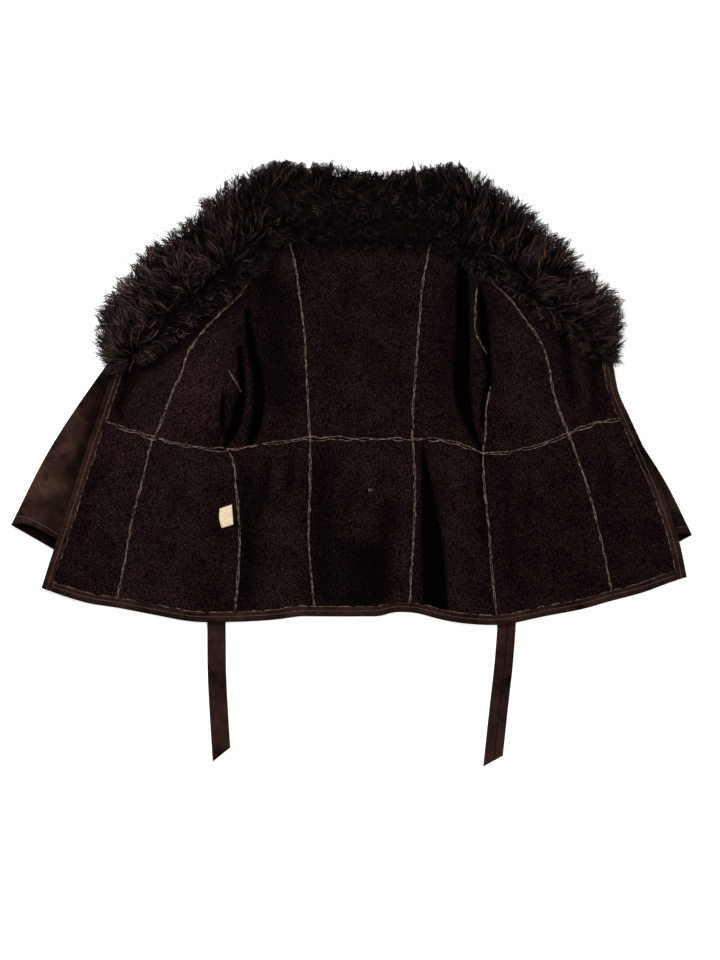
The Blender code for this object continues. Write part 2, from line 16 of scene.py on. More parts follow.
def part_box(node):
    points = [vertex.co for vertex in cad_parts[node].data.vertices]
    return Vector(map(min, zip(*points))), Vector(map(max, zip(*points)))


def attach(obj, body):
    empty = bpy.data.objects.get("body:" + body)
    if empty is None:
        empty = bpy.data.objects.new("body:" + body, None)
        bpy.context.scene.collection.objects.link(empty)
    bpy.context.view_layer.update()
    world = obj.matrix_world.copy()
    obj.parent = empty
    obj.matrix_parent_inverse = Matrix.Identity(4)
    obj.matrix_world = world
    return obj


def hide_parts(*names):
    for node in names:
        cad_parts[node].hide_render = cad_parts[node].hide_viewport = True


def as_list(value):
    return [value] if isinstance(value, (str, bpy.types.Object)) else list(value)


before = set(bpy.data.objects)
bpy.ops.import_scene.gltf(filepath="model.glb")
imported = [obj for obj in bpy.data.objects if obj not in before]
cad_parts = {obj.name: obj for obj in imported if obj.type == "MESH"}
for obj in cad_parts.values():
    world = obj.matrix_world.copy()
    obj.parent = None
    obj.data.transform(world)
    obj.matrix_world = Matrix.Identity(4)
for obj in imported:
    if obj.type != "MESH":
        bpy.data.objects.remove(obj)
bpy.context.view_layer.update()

bl_info = {
    "name": "Shearling Coat",
    "version": (1, 0, 0),
    "blender": (4, 5, 0),
    "location": "3D View > Sidebar > Coat",
    "description": "Builds the looks of a shearling coat with a fur collar, over its CAD solids",
    "category": "Object",
}

MM = 0.001
WAIST_CENTRE = (20.0, 51.48)  # the centre back of the waist, in the frame

# ---------------------------------------------------------------- the cut

BODICE_SEAMS = {
    "front_edge_right": [(-484, 172), (-508, 100), (-527, 46)],
    "front_princess_right": [
        (-212, 336), (-245, 287), (-283, 251), (-322, 208), (-342, 180), (-359, 133), (-376, 96), (-412, 8),
    ],
    "armhole_right": [
        (-165, 408), (-178, 350), (-196, 300), (-213, 258), (-231, 226), (-246, 192), (-258, 150),
        (-276, 106), (-281, 54), (-284, 16), (-290, -18),
    ],
    "back_princess_right": [(-147, 410), (-132, 346), (-122, 278), (-114, 208), (-110, 132), (-103, 2)],
    "back_princess_left": [(142, 408), (123, 316), (115, 228), (109, 152), (104, 74), (102, 0)],
    "armhole_left": [
        (214, 366), (232, 322), (248, 284), (257, 228), (265, 194), (266, 124), (256, 98), (247, 60),
        (248, 14), (243, -26),
    ],
    "front_princess_left": [
        (250, 340), (264, 312), (293, 284), (326, 240), (363, 184), (376, 131), (386, 84), (412, 12),
    ],
    "front_edge_left": [(497, 172), (503, 140), (512, 95), (534, 44)],
}
SKIRT_SEAMS = {
    "front_edge_right": [(-527, 44), (-564, -66), (-597, -172), (-639, -296)],
    "front_princess_right": [(-417, 4), (-438, -84), (-459, -164), (-475, -252), (-493, -334)],
    "side_right": [(-267, -20), (-257, -40), (-251, -90), (-245, -152), (-245, -240), (-255, -362)],
    "back_princess_right": [(-103, 2), (-103, -82), (-105, -204), (-97, -306), (-93, -352)],
    "back_princess_left": [(103, 0), (107, -102), (104, -204), (98, -286), (97, -344)],
    "side_left": [(243, -26), (245, -87), (253, -164), (259, -240), (272, -369)],
    "front_princess_left": [(413, 12), (439, -60), (461, -133), (481, -214), (502, -320)],
    "front_edge_left": [(534, 44), (561, -14), (599, -102), (631, -198), (649, -274)],
}
NECK_EDGES = {
    "front_centre_upper_right": [(-440, 181), (-390, 216), (-335, 254), (-285, 298)],
    "front_side_upper_right": [(-190, 376)],
    "back_side_upper_right": [(-156, 410)],
    "back_centre_upper": [(0, 412)],
    "back_side_upper_left": [(182, 390)],
    "front_side_upper_left": [],
    "front_centre_upper_left": [(296, 328), (346, 288), (392, 248), (440, 220)],
}
WAIST = [
    (-527, 45), (-475, 24), (-417, 5), (-325, -15), (-267, -20), (-201, -9), (-105, 2), (0, 2),
    (103, 1), (167, -1), (215, -15), (243, -26), (293, -24), (363, -8), (412, 12), (465, 32), (534, 45),
]
HEM = [
    (-639, -296), (-539, -327), (-493, -334), (-409, -350), (-341, -362), (-255, -363), (-168, -358),
    (-120, -352), (-93, -352), (0, -352), (37, -351), (65, -344), (97, -344), (167, -360), (207, -366),
    (272, -369), (370, -351), (447, -336), (502, -320), (561, -304), (619, -283), (649, -274),
]

# name, seam on the wearer's right, seam on the left, and what the panel lies on
BODICE_PANELS = [
    ("front_centre_upper_right", "front_edge_right", "front_princess_right", ["sleeve_right_suede"]),
    ("front_side_upper_right", "front_princess_right", "armhole_right", ["sleeve_right_suede"]),
    ("back_side_upper_right", "armhole_right", "back_princess_right", ["belt_strap"]),
    ("back_centre_upper", "back_princess_right", "back_princess_left", ["belt_strap"]),
    ("back_side_upper_left", "back_princess_left", "armhole_left", ["belt_strap"]),
    ("front_side_upper_left", "armhole_left", "front_princess_left", ["sleeve_left_suede"]),
    ("front_centre_upper_left", "front_princess_left", "front_edge_left", ["sleeve_left_suede"]),
]
SKIRT_PANELS = [
    ("front_centre_skirt_right", "front_edge_right", "front_princess_right", ["sleeve_right_suede"]),
    ("front_side_skirt_right", "front_princess_right", "side_right", ["belt_strap"]),
    ("back_side_skirt_right", "side_right", "back_princess_right", ["belt_strap"]),
    ("back_centre_skirt", "back_princess_right", "back_princess_left", ["belt_strap"]),
    ("back_side_skirt_left", "back_princess_left", "side_left", ["belt_strap"]),
    ("front_side_skirt_left", "side_left", "front_princess_left", ["belt_strap"]),
    ("front_centre_skirt_left", "front_princess_left", "front_edge_left", ["sleeve_left_suede"]),
]

# Panels, their seams, and the lines above and below: the neck has its own table
BODY_PARTS = [(BODICE_PANELS, BODICE_SEAMS, None, WAIST), (SKIRT_PANELS, SKIRT_SEAMS, WAIST, HEM)]

# Raw edges seen round the arms, where the armholes themselves are folded away
ARM_EDGES = [
    [(-265, 138), (-256, 124), (-246, 106), (-241, 96)],
    [(231, 304), (227, 254), (230, 208), (240, 190), (251, 172)],
    [(257, 106), (249, 60), (248, 14), (243, -26)],
]

PANEL_STEP = 4.5  # between two rows of a panel's surface
PANEL_THICK = 5.6
BAND_WIDTH = 19.0
BAND_THICK = 2.2
BAND_LIFT = 0.45
BAND_ACROSS = [-0.04, 0.02, 0.1, 0.3, 0.55, 0.8, 0.95, 1.0]  # rows of a band, as shares of its width
STITCH_ROW, RAW_ROW = 4, 7  # the rows that carry the stitches and the raw edge

# Soft folds that the solids leave out: line, half width, height (a trough where it is negative)
SOFT_FOLDS = [
    ([(-189, -30), (-199, -110), (-226, -262)], 13, -5.0),
    ([(-135, -24), (-140, -70), (-149, -128)], 11, -4.5),
    ([(-166, -40), (-180, -140), (-196, -280)], 15, 3.0),
    ([(-228, -60), (-222, -200), (-232, -340)], 14, -4.0),
    ([(401, 244), (412, 150), (426, 66)], 9, -5.5),
    ([(463, 156), (467, 100), (474, 52)], 8, -4.5),
    ([(437, 190), (444, 110), (452, 46)], 11, 3.0),
    ([(-462, 158), (-474, 96), (-487, 40)], 9, -4.0),
    ([(-330, 160), (-352, 90), (-372, 20)], 18, 2.4),
    ([(-300, 206), (-322, 120), (-346, 30)], 14, -2.2),
    ([(310, 230), (330, 130), (338, 20)], 20, 2.2),
    ([(-80, -40), (-78, -150), (-76, -340)], 18, -5.0),
    ([(-10, -20), (-18, -120), (-22, -230)], 26, 4.0),
    ([(-4, -230), (0, -340)], 34, -4.0),
    ([(-340, -40), (-352, -150), (-392, -330)], 17, -3.0),
    ([(-300, -60), (-312, -200), (-330, -350)], 20, 3.0),
    ([(-500, -20), (-540, -140), (-588, -280)], 18, -3.0),
    ([(300, -70), (318, -200), (340, -350)], 20, 3.0),
    ([(352, -50), (382, -180), (412, -330)], 15, -3.4),
    ([(478, -10), (520, -120), (572, -250)], 15, -3.2),
    ([(60, 380), (40, 250), (52, 120)], 24, -2.0),
    ([(-60, 370), (-44, 230), (-58, 60)], 26, -2.0),
    ([(0, 390), (4, 220), (-2, 30)], 30, 2.0),
    ([(150, 330), (152, 200), (146, 60)], 14, 2.6),
    ([(-160, 330), (-158, 200), (-150, 60)], 18, 2.2),
]

# Slots between two folds: line with a half width at each point, and how dark the painted shade in them is
SLOTS = [
    (
        [(201, 350, 9), (203, 300, 12), (203, 214, 14), (205, 76, 15), (219, 24, 9), (238, -20, 5),
         (246, -60, 3)], 1.0,
    ),
    (
        [(237, 304, 4), (243, 254, 8), (247, 204, 9), (252, 160, 7), (256, 126, 6), (245, 84, 4),
         (242, 24, 3)], 1.0,
    ),
    (
        [(-228, 257, 3), (-221, 196, 7), (-208, 136, 10), (-205, 70, 11), (-213, 20, 10),
         (-226, -14, 5)], 1.0,
    ),
    (
        [(-243, 184, 3), (-240, 140, 5), (-238, 104, 7), (-245, 58, 10), (-257, 18, 10),
         (-272, -12, 5)], 1.0,
    ),
    ([(-275, 86, 2), (-277, 44, 5), (-272, 8, 4)], 0.95),
    (
        [(122, -10, 2), (127, -60, 7), (133, -120, 14), (140, -204, 21), (146, -280, 24),
         (147, -350, 25)], 0.97,
    ),
]

# Broad painted shade in hollows and under the collar's edge: line, half width, strength
SHADES = [
    ([(-80, -20), (-80, -150), (-76, -345)], 26, 0.6),
    ([(6, -200), (2, -260), (-2, -345)], 44, 0.75),
    ([(60, -110), (46, -200), (30, -335)], 22, 0.6),
    ([(-230, -50), (-226, -180), (-234, -345)], 18, 0.62),
    ([(-186, -36), (-192, -80), (-200, -130)], 9, 0.55),
    ([(-138, -24), (-142, -64), (-148, -110)], 9, 0.55),
    ([(-440, 160), (-395, 190), (-350, 228), (-300, 268)], 26, 0.72),
    ([(-462, 158), (-474, 96), (-487, 40)], 11, 0.62),
    ([(401, 250), (412, 150), (426, 66)], 10, 0.62),
    ([(463, 160), (467, 100), (474, 52)], 9, 0.55),
    ([(236, -30), (240, -120), (250, -240)], 8, 0.5),
    ([(196, 350), (170, 390), (120, 398), (0, 400), (-120, 402), (-170, 400)], 22, 0.6),
    ([(232, 340), (287, 312), (343, 268), (389, 232), (440, 200)], 18, 0.5),
    ([(-138, 400), (-126, 340), (-120, 260)], 8, 0.45),
    ([(285, -40), (292, -140), (300, -300)], 12, 0.35),
    ([(-168, 330), (-172, 180), (-168, 40)], 34, 0.6),
    ([(170, 330), (172, 200), (166, 60)], 20, 0.35),
]

# Paler stretches of fleece, painted lighter where they catch the light: line, half width, strength
PAINTED_LIGHT = [
    ([(-372, 150), (-400, 60), (-420, -120), (-450, -300)], 90, 0.45),
    ([(-300, 190), (-330, 60)], 40, 0.35),
    ([(330, 190), (350, 60)], 60, 0.25),
    ([(187, -60), (200, -200), (214, -340)], 26, 0.35),
    ([(82, -60), (78, -200), (74, -340)], 18, 0.4),
    ([(-150, -160), (-150, -330)], 30, 0.35),
    ([(430, 180), (440, 80)], 14, 0.4),
    ([(0, -60), (4, -150)], 40, 0.15),
]

# Outline of each sleeve as it lies, from the cuff up to where the panels cover it
SLEEVES = {
    "sleeve_right": {
        "outer": [(-700, -170), (-627, -26), (-515, 142), (-400, 290), (-262, 362)],
        "inner": [(-571, -244), (-485, -95), (-385, 40), (-283, 112)],
    },
    "sleeve_left": {
        "outer": [(660, -190), (606, -82), (555, 0), (470, 152), (384, 280), (296, 352)],
        "inner": [(530, -262), (440, -110), (362, 30), (286, 112)],
    },
}
SLEEVE_WALL = 5.0
SLEEVE_SIDES = 84
SLEEVE_HEIGHTS = [(0.0, 31.0), (0.12, 27.0), (0.45, 23.0), (1.0, 23.0)]
SLEEVE_SIDE_POWER = 0.75  # under 1: the sides of a section are fuller than a circle's
SLEEVE_LOW_POWER = 0.35  # the base of a section, nearly flat
SLEEVE_HIGH_POWER = 0.8  # its arch
SLEEVE_DUSK = {"sleeve_right": 0.62, "sleeve_left": 0.2}  # shade beside the coat's front edge
SLEEVE_DUSK_REACH = 34.0
CUFF_SLANT = 22.0
CUFF_HEM = 11.0  # from the cuff's edge to its stitching

BELT_WIDTH = 37.0
BELT_THICK = 2.6
BELT_END_RIGHT = [(-280, -629), (-285, -550), (-289, -470), (-290, -380), (-291, -200), (-292, -60)]
BELT_END_LEFT = [(290, -60), (290, -200), (290, -370), (284, -450), (275, -530), (263, -642)]
BELT_CORNER_RIGHT = (-292, 0)
BELT_TURN_RADIUS = 34.0
BELT_TIP_SLANT = 13.0
BELT_RUN_END = 290.0  # where the strap turns down at the wearer's left
# Section of the strap: shares of its width and of its thickness
BELT_OUTLINE = [
    (0, 0.2), (0.02, 0), (0.34, 0), (0.66, 0), (0.98, 0), (1, 0.2), (1, 0.8), (0.975, 1), (0.92, 0.9),
    (0.7, 0.94), (0.5, 0.94), (0.3, 0.94), (0.08, 0.9), (0.025, 1), (0, 0.8),
]

# Collar: a point of the outer edge, then of the neck edge, at each station
COLLAR = [
    (-512, 150, -446, 156),
    (-532, 190, -428, 168),
    (-531, 246, -393, 197),
    (-504, 300, -337, 234),
    (-468, 346, -291, 277),
    (-417, 400, -252, 303),
    (-352, 454, -222, 325),
    (-300, 503, -199, 356),
    (-222, 536, -172, 397),
    (-150, 550, -112, 400),
    (0, 537, 0, 397),
    (120, 537, 112, 398),
    (200, 539, 166, 384),
    (268, 514, 200, 360),
    (324, 476, 233, 335),
    (380, 422, 287, 315),
    (440, 362, 325, 284),
    (497, 305, 365, 250),
    (525, 250, 391, 231),
    (529, 198, 435, 203),
    (515, 150, 478, 160),
]
COLLAR_PIECES = [("collar_right", 0, 8), ("collar_back", 8, 12), ("collar_left", 12, 20)]
# How far the hide's outer edge stands back from the fur's: station of the collar's table, distance
COLLAR_INSET = [(7.0, 34.0), (8.5, 15.0), (11.5, 15.0), (13.0, 32.0)]
# Strands in each piece, and sections in a strand: the short fur at the back neck is curlier
STRANDS = {"collar_right": (6000, 6), "collar_back": (3750, 9), "collar_left": (6000, 6)}
STRANDS_IN_LOCK = 4
FUR_TOP = 555.0  # past this y the strands are drawn in
FUR_PARTING = 0.8  # share of the hide, from its outer edge, where the strands part
FUR_PARTING_REACH = 0.22
FUR_SPREAD = 5.5  # between the strands of one lock
FUR_CEILING = 64.0
FUR_HALF = 0.68  # half the width of a strand
LOCK_LENGTHS = (20.0, 84.0)  # the shortest and the longest
BACK_NECK_REACH = 190.0  # the fur is shorter up to this far from the centre back
# Reddish locks: place and reach
AUBURN = [
    (-112, 545, 34), (-128, 505, 26), (-184, 432, 22), (-140, 525, 30), (296, 380, 20), (410, 392, 22),
    (418, 420, 16), (60, 500, 26), (-20, 478, 24), (350, 330, 14),
]
BARE_FLOOR = 0.8  # height that the fur keeps over the floor, where there is no cloth

LABEL_CORNERS = [(-283, -137), (-259, -129), (-256, -169), (-279, -176)]
THREAD_AT = (17, -100)

# Flat size of each cut piece but the belt: width, length and area, in metres
FLAT = {
    "sleeve_right": (0.520, 0.708, 0.2120),
    "sleeve_left": (0.498, 0.660, 0.1889),
    "front_centre_upper_right": (0.151, 0.415, 0.0299),
    "front_side_upper_right": (0.128, 0.478, 0.0331),
    "back_side_upper_right": (0.208, 0.471, 0.0599),
    "back_centre_upper": (0.289, 0.411, 0.0955),
    "back_side_upper_left": (0.177, 0.469, 0.0650),
    "front_side_upper_left": (0.174, 0.401, 0.0365),
    "front_centre_upper_left": (0.150, 0.394, 0.0317),
    "front_centre_skirt_right": (0.152, 0.364, 0.0480),
    "front_side_skirt_right": (0.241, 0.352, 0.0731),
    "back_side_skirt_right": (0.165, 0.361, 0.0522),
    "back_centre_skirt": (0.214, 0.357, 0.0730),
    "back_side_skirt_left": (0.180, 0.381, 0.0568),
    "front_side_skirt_left": (0.239, 0.352, 0.0736),
    "front_centre_skirt_left": (0.159, 0.352, 0.0493),
    "edge_band_upper_right": (0.025, 0.153, 0.0034),
    "edge_band_skirt_right": (0.025, 0.411, 0.0093),
    "edge_band_upper_left": (0.031, 0.156, 0.0035),
    "edge_band_skirt_left": (0.036, 0.387, 0.0087),
    "front_centre_hem_band_right": (0.028, 0.150, 0.0034),
    "front_side_hem_band_right": (0.035, 0.273, 0.0061),
    "back_side_hem_band_right": (0.026, 0.187, 0.0042),
    "back_centre_hem_band": (0.031, 0.219, 0.0049),
    "back_side_hem_band_left": (0.030, 0.204, 0.0046),
    "front_side_hem_band_left": (0.028, 0.269, 0.0060),
    "front_centre_hem_band_left": (0.026, 0.155, 0.0035),
    "care_label": (0.025, 0.045, 0.0010),
    "collar_right": (0.158, 0.440, 0.0556),
    "collar_back": (0.125, 0.406, 0.0419),
    "collar_left": (0.140, 0.450, 0.0457),
}


# ---------------------------------------------------------------- shared shapes


def placed(points):
    """Table points in the frame's metres."""
    p = np.array(points, float)
    p[..., 0] += WAIST_CENTRE[0]
    p[..., 1] += WAIST_CENTRE[1]
    return p * MM


def lifted(flat, z):
    """Table points over these (x, y), at this height or these heights."""
    return np.concatenate([flat, np.broadcast_to(z, flat.shape[:-1])[..., None]], axis=-1)


def curve(points, shares):
    """Points on a smooth curve through the given ones, at these shares of its length."""
    p = np.array(points, float)
    if len(p) == 2:
        return p[0] + (p[1] - p[0]) * np.asarray(shares)[:, None]
    along = np.concatenate([[0.0], np.cumsum(np.linalg.norm(np.diff(p[:, :2], axis=0), axis=1))])
    along /= along[-1]
    return smoothed(p, along, np.clip(np.asarray(shares, float), 0.0, 1.0))


def smoothed(p, knots, at):
    """Points at these values, on the smooth curve that passes p at the knots."""
    slope = np.gradient(p, knots, axis=0)
    k = np.clip(np.searchsorted(knots, at, side="right") - 1, 0, len(p) - 2)
    step = (knots[k + 1] - knots[k])[:, None]
    t = ((at - knots[k]) / (knots[k + 1] - knots[k]))[:, None]
    return (
        (2 * t**3 - 3 * t**2 + 1) * p[k]
        + (t**3 - 2 * t**2 + t) * step * slope[k]
        + (-2 * t**3 + 3 * t**2) * p[k + 1]
        + (t**3 - t**2) * step * slope[k + 1]
    )


def length_of(points):
    return float(np.linalg.norm(np.diff(np.array(points, float)[:, :2], axis=0), axis=1).sum())


def along_line(points, step):
    """Points every `step` millimetres along a smooth curve through the given ones."""
    count = max(3, int(length_of(points) / step) + 1)
    return curve(points, np.linspace(0, 1, count))


def height_on(line, x):
    fine = curve(line, np.linspace(0, 1, 400))
    return np.interp(x, fine[:, 0], fine[:, 1])


def between(line, start, end, shares):
    x = start[0] + (end[0] - start[0]) * shares
    return np.stack([x, height_on(line, x)], axis=-1)


def snapped(seam, top_line, bottom_line):
    """A seam with its ends moved onto the lines that it runs between."""
    first, *middle, last = seam
    if top_line is not None:
        first = (first[0], float(height_on(top_line, first[0])))
    last = (last[0], float(height_on(bottom_line, last[0])))
    return [first, *middle, last]


def distance_to(line, x, y):
    """Distance of each point to a polyline, the share of the polyline it falls at, and the third
    number of the line there."""
    p = np.array(line, float)
    if p.shape[1] == 2:
        p = np.concatenate([p, np.zeros((len(p), 1))], axis=1)
    lengths = np.linalg.norm(np.diff(p[:, :2], axis=0), axis=1)
    starts = np.concatenate([[0.0], np.cumsum(lengths)[:-1]])
    best = np.full(np.shape(x), 1e9)
    share = np.zeros(np.shape(x))
    third = np.zeros(np.shape(x))
    for a, b, length, start in zip(p[:-1], p[1:], lengths, starts):
        t = np.clip(((x - a[0]) * (b[0] - a[0]) + (y - a[1]) * (b[1] - a[1])) / length**2, 0, 1)
        d = np.hypot(x - a[0] - t * (b[0] - a[0]), y - a[1] - t * (b[1] - a[1]))
        nearer = d < best
        best = np.where(nearer, d, best)
        share = np.where(nearer, (start + t * length) / lengths.sum(), share)
        third = np.where(nearer, a[2] + t * (b[2] - a[2]), third)
    return best, share, third


def eased(t):
    t = np.clip(t, 0, 1)
    return t * t * (3 - 2 * t)


def wander(x, y, size, seed):
    """Smooth random values from -1 to 1, that change over about `size` millimetres."""
    cells = 128
    lattice = np.random.default_rng(seed).uniform(-1, 1, (cells, cells))
    u = np.asarray(x, float) / size + 40.3
    v = np.asarray(y, float) / size + 40.7
    i, j = np.floor(u).astype(int), np.floor(v).astype(int)
    fu, fv = eased(u - i), eased(v - j)
    a, b = i % cells, j % cells
    c, d = (i + 1) % cells, (j + 1) % cells
    low = lattice[a, b] * (1 - fu) + lattice[c, b] * fu
    high = lattice[a, d] * (1 - fu) + lattice[c, d] * fu
    return low * (1 - fv) + high * fv


def blurred(values, cells):
    """Gaussian blur of a raster."""
    fx = np.fft.fftfreq(values.shape[0])[:, None]
    fy = np.fft.rfftfreq(values.shape[1])[None, :]
    reach = np.exp(-2 * (math.pi * cells) ** 2 * (fx**2 + fy**2))
    return np.fft.irfft2(np.fft.rfft2(values) * reach, s=values.shape)


RASTER_STEP = 4.0
RASTER_X = np.arange(-780.0, 740.0, RASTER_STEP)
RASTER_Y = np.arange(-720.0, 640.0, RASTER_STEP)


def read_raster(z, x, y):
    """Values of a raster at table points, between its cells."""
    i = np.clip((np.asarray(x) - RASTER_X[0]) / RASTER_STEP, 0, len(RASTER_X) - 1.001)
    j = np.clip((np.asarray(y) - RASTER_Y[0]) / RASTER_STEP, 0, len(RASTER_Y) - 1.001)
    a, b = i.astype(int), j.astype(int)
    u, v = i - a, j - b
    return (
        z[a, b] * (1 - u) * (1 - v) + z[a + 1, b] * u * (1 - v) + z[a, b + 1] * (1 - u) * v
        + z[a + 1, b + 1] * u * v
    )


def heights(names, smooth, from_below=False):
    """Raster of the heights of some CAD solids, smoothed, in table millimetres."""
    z = np.full((len(RASTER_X), len(RASTER_Y)), np.nan)
    start, way = (-1.0, 1.0) if from_below else (1.0, -1.0)
    outermost = min if from_below else max
    px = (RASTER_X + WAIST_CENTRE[0]) * MM
    py = (RASTER_Y + WAIST_CENTRE[1]) * MM
    for name in names:
        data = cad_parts[name].data
        tree = BVHTree.FromPolygons([v.co for v in data.vertices], [f.vertices for f in data.polygons])
        low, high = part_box(name)
        for i in np.flatnonzero((px >= low.x) & (px <= high.x)):
            for j in np.flatnonzero((py >= low.y) & (py <= high.y)):
                hit = tree.ray_cast(Vector((px[i], py[j], start)), Vector((0, 0, way)))[0]
                if hit is not None:
                    z[i, j] = hit.z / MM if np.isnan(z[i, j]) else outermost(z[i, j], hit.z / MM)
    known = ~np.isnan(z)
    z = np.where(known, z, 0.0)
    filled = np.zeros_like(z)
    done = np.zeros_like(known)
    for cells in (smooth / RASTER_STEP, 4.0, 12.0):
        weight = blurred(known.astype(float), cells)
        value = blurred(z, cells) / np.maximum(weight, 1e-6)
        new = ~done & (weight > 0.08)
        filled[new] = value[new]
        done |= new
    return filled


CLOTH = heights([panel[0] for panel in BODICE_PANELS + SKIRT_PANELS], 6.0)


def slot_mask(x, y):
    """1 in the slots between folds, 0 away from them."""
    mask = np.zeros(np.shape(x))
    for line, strength in SLOTS:
        d, _, half = distance_to(curve(line, np.linspace(0, 1, 24)), x, y)
        mask = np.maximum(mask, strength * eased((half + 3.0 - d) / 6.0))
    return mask


def shade(x, y):
    """Painted shading of the fleece: 1 in the depth of a slot, where the painted shade is darkest, below 0
    where painted light makes it paler.
    """
    light = 1.0 - slot_mask(x, y)
    # painted shade in hollows and under the collar's edge
    for line, half, strength in SHADES:
        d, share, _ = distance_to(curve(line, np.linspace(0, 1, 12)), x, y)
        ends = eased(np.minimum(share, 1 - share) / 0.2 + 0.25)
        light = light * (1 - strength * ends * eased(1 - d / (1.8 * half)))
    # painted light: these stretches of fleece are made paler
    for line, half, strength in PAINTED_LIGHT:
        d, _, _ = distance_to(curve(line, np.linspace(0, 1, 12)), x, y)
        light = light * (1 + strength * eased(1 - d / (1.8 * half)))
    return 1.0 - light


def cloth_top(x, y):
    """Height of the fleece, with the finer folds and slots."""
    z = read_raster(CLOTH, x, y)
    for line, half, height in SOFT_FOLDS:
        d, share, _ = distance_to(curve(line, np.linspace(0, 1, 12)), x, y)
        ends = eased(np.minimum(share, 1 - share) / 0.22)
        z = z + height * (0.3 + 0.7 * ends) * np.cos(np.clip(d / (1.7 * half), 0, 1) * math.pi / 2) ** 2
    z = z + 0.8 * wander(x, y, 46.0, 3) + 0.5 * wander(x, y, 19.0, 4)
    in_slot = 6.2 + 0.4 * wander(x, y, 12.0, 5)
    z = z + (np.minimum(in_slot, z) - z) * slot_mask(x, y)
    return np.maximum(z, 6.0)


def mesh_of(bm, name):
    mesh = bpy.data.meshes.new(name)
    bm.to_mesh(mesh)
    bm.free()
    return mesh


def new_object(name, mesh, materials):
    obj = bpy.data.objects.new(name, mesh)
    for made in materials:
        mesh.materials.append(made)
    bpy.context.scene.collection.objects.link(obj)
    mesh.shade_smooth()
    return obj


def read_points(mesh):
    co = np.empty(len(mesh.vertices) * 3)
    mesh.vertices.foreach_get("co", co)
    return co.reshape(-1, 3)


def face_corners(mesh):
    """The vertex at each corner of each face, one face after another."""
    corner = np.empty(len(mesh.loops), np.int32)
    mesh.loops.foreach_get("vertex_index", corner)
    return corner


def write_points(mesh, points):
    mesh.vertices.foreach_set("co", np.ascontiguousarray(points, np.float32).ravel())
    mesh.update()


def add_values(mesh, name, values):
    """A value at each vertex, for the material to read."""
    layer = mesh.attributes.new(name, "FLOAT", "POINT")
    layer.data.foreach_set("value", np.ascontiguousarray(values, np.float32).ravel())


def slab(name, top, under, materials, values=None):
    """A closed sheet: `top` and `under` are grids of table points, columns by rows, rows going down.

    The second material, if there is one, goes on the underside and the rim."""
    columns, rows = top.shape[:2]
    bm = bmesh.new()
    bmesh.ops.create_grid(bm, x_segments=columns - 1, y_segments=rows - 1, size=1.0)
    grown = bmesh.ops.extrude_face_region(bm, geom=list(bm.faces))["geom"]
    bmesh.ops.translate(bm, verts=[g for g in grown if isinstance(g, bmesh.types.BMVert)], vec=(0, 0, 1))
    bmesh.ops.recalc_face_normals(bm, faces=bm.faces)
    mesh = mesh_of(bm, name)
    co = read_points(mesh)
    i = np.rint((co[:, 0] + 1) / 2 * (columns - 1)).astype(int)
    j = np.rint((1 - co[:, 1]) / 2 * (rows - 1)).astype(int)
    upper = co[:, 2] > 0.5
    points = np.where(upper[:, None], top[i, j], under[i, j])
    write_points(mesh, placed(points))
    corner = face_corners(mesh)
    on_top = upper[corner].reshape(-1, 4).all(axis=1)
    if len(materials) > 1:
        mesh.polygons.foreach_set("material_index", np.where(on_top, 0, 1).astype(np.int32))
    across = np.linalg.norm(np.diff(top, axis=0), axis=2)
    across = np.concatenate([np.zeros((1, rows)), np.cumsum(across, axis=0)]) * MM
    down = np.linalg.norm(np.diff(top, axis=1), axis=2)
    down = np.concatenate([np.zeros((columns, 1)), np.cumsum(down, axis=1)], axis=1) * MM
    across -= across[-1:] / 2
    on_cut = np.stack([across[i, j], -down[i, j]], axis=-1)
    uv = mesh.uv_layers.new(name="cut")
    uv.data.foreach_set("uv", on_cut[corner].astype(np.float32).ravel())
    for key, grid in (values or {}).items():
        add_values(mesh, key, grid[i, j])
    return new_object(name, mesh, materials)


def rod(name, rings):
    """A closed rod through rings of points, made by drawing out the rim of a disc.

    Returned with the ring and the side of each vertex."""
    count, sides = rings.shape[:2]
    bm = bmesh.new()
    bmesh.ops.create_circle(bm, cap_ends=True, segments=sides, radius=1.0)
    rim = list(bm.edges)
    for _ in range(count - 1):
        grown = bmesh.ops.extrude_edge_only(bm, edges=rim)["geom"]
        fresh = {g for g in grown if isinstance(g, bmesh.types.BMVert)}
        rim = [g for g in grown if isinstance(g, bmesh.types.BMEdge) and fresh.issuperset(g.verts)]
        bmesh.ops.translate(bm, verts=list(fresh), vec=(0, 0, 1))
    bmesh.ops.edgeloop_fill(bm, edges=rim)
    bmesh.ops.recalc_face_normals(bm, faces=bm.faces)
    mesh = mesh_of(bm, name)
    co = read_points(mesh)
    ring = np.rint(co[:, 2]).astype(int)
    side = np.rint(np.arctan2(co[:, 1], co[:, 0]) / (2 * math.pi) * sides).astype(int) % sides
    write_points(mesh, placed(rings[ring, side]))
    return mesh, ring, side


def outward(mesh):
    """The same mesh with its faces turned outwards."""
    bm = bmesh.new()
    bm.from_mesh(mesh)
    bmesh.ops.recalc_face_normals(bm, faces=bm.faces)
    bm.to_mesh(mesh)
    bm.free()
    return mesh


def copies(name, template, points):
    """One mesh of many copies of a template, each with its own points (copies, points, 3)."""
    count, corners = points.shape[:2]
    index = face_corners(template)
    first = np.empty(len(template.polygons), np.int32)
    template.polygons.foreach_get("loop_start", first)
    step = np.arange(count, dtype=np.int32)[:, None]
    mesh = bpy.data.meshes.new(name)
    mesh.vertices.add(count * corners)
    mesh.vertices.foreach_set("co", points.astype(np.float32).ravel())
    mesh.loops.add(count * len(index))
    mesh.loops.foreach_set("vertex_index", (index[None] + step * corners).ravel())
    mesh.polygons.add(count * len(first))
    mesh.polygons.foreach_set("loop_start", (first[None] + step * len(index)).ravel())
    mesh.update(calc_edges=True)
    mesh.validate()
    return mesh


def joined(name, meshes):
    """One mesh of several, which are used up."""
    bm = bmesh.new()
    for mesh in meshes:
        bm.from_mesh(mesh)
        bpy.data.meshes.remove(mesh)
    return outward(mesh_of(bm, name))


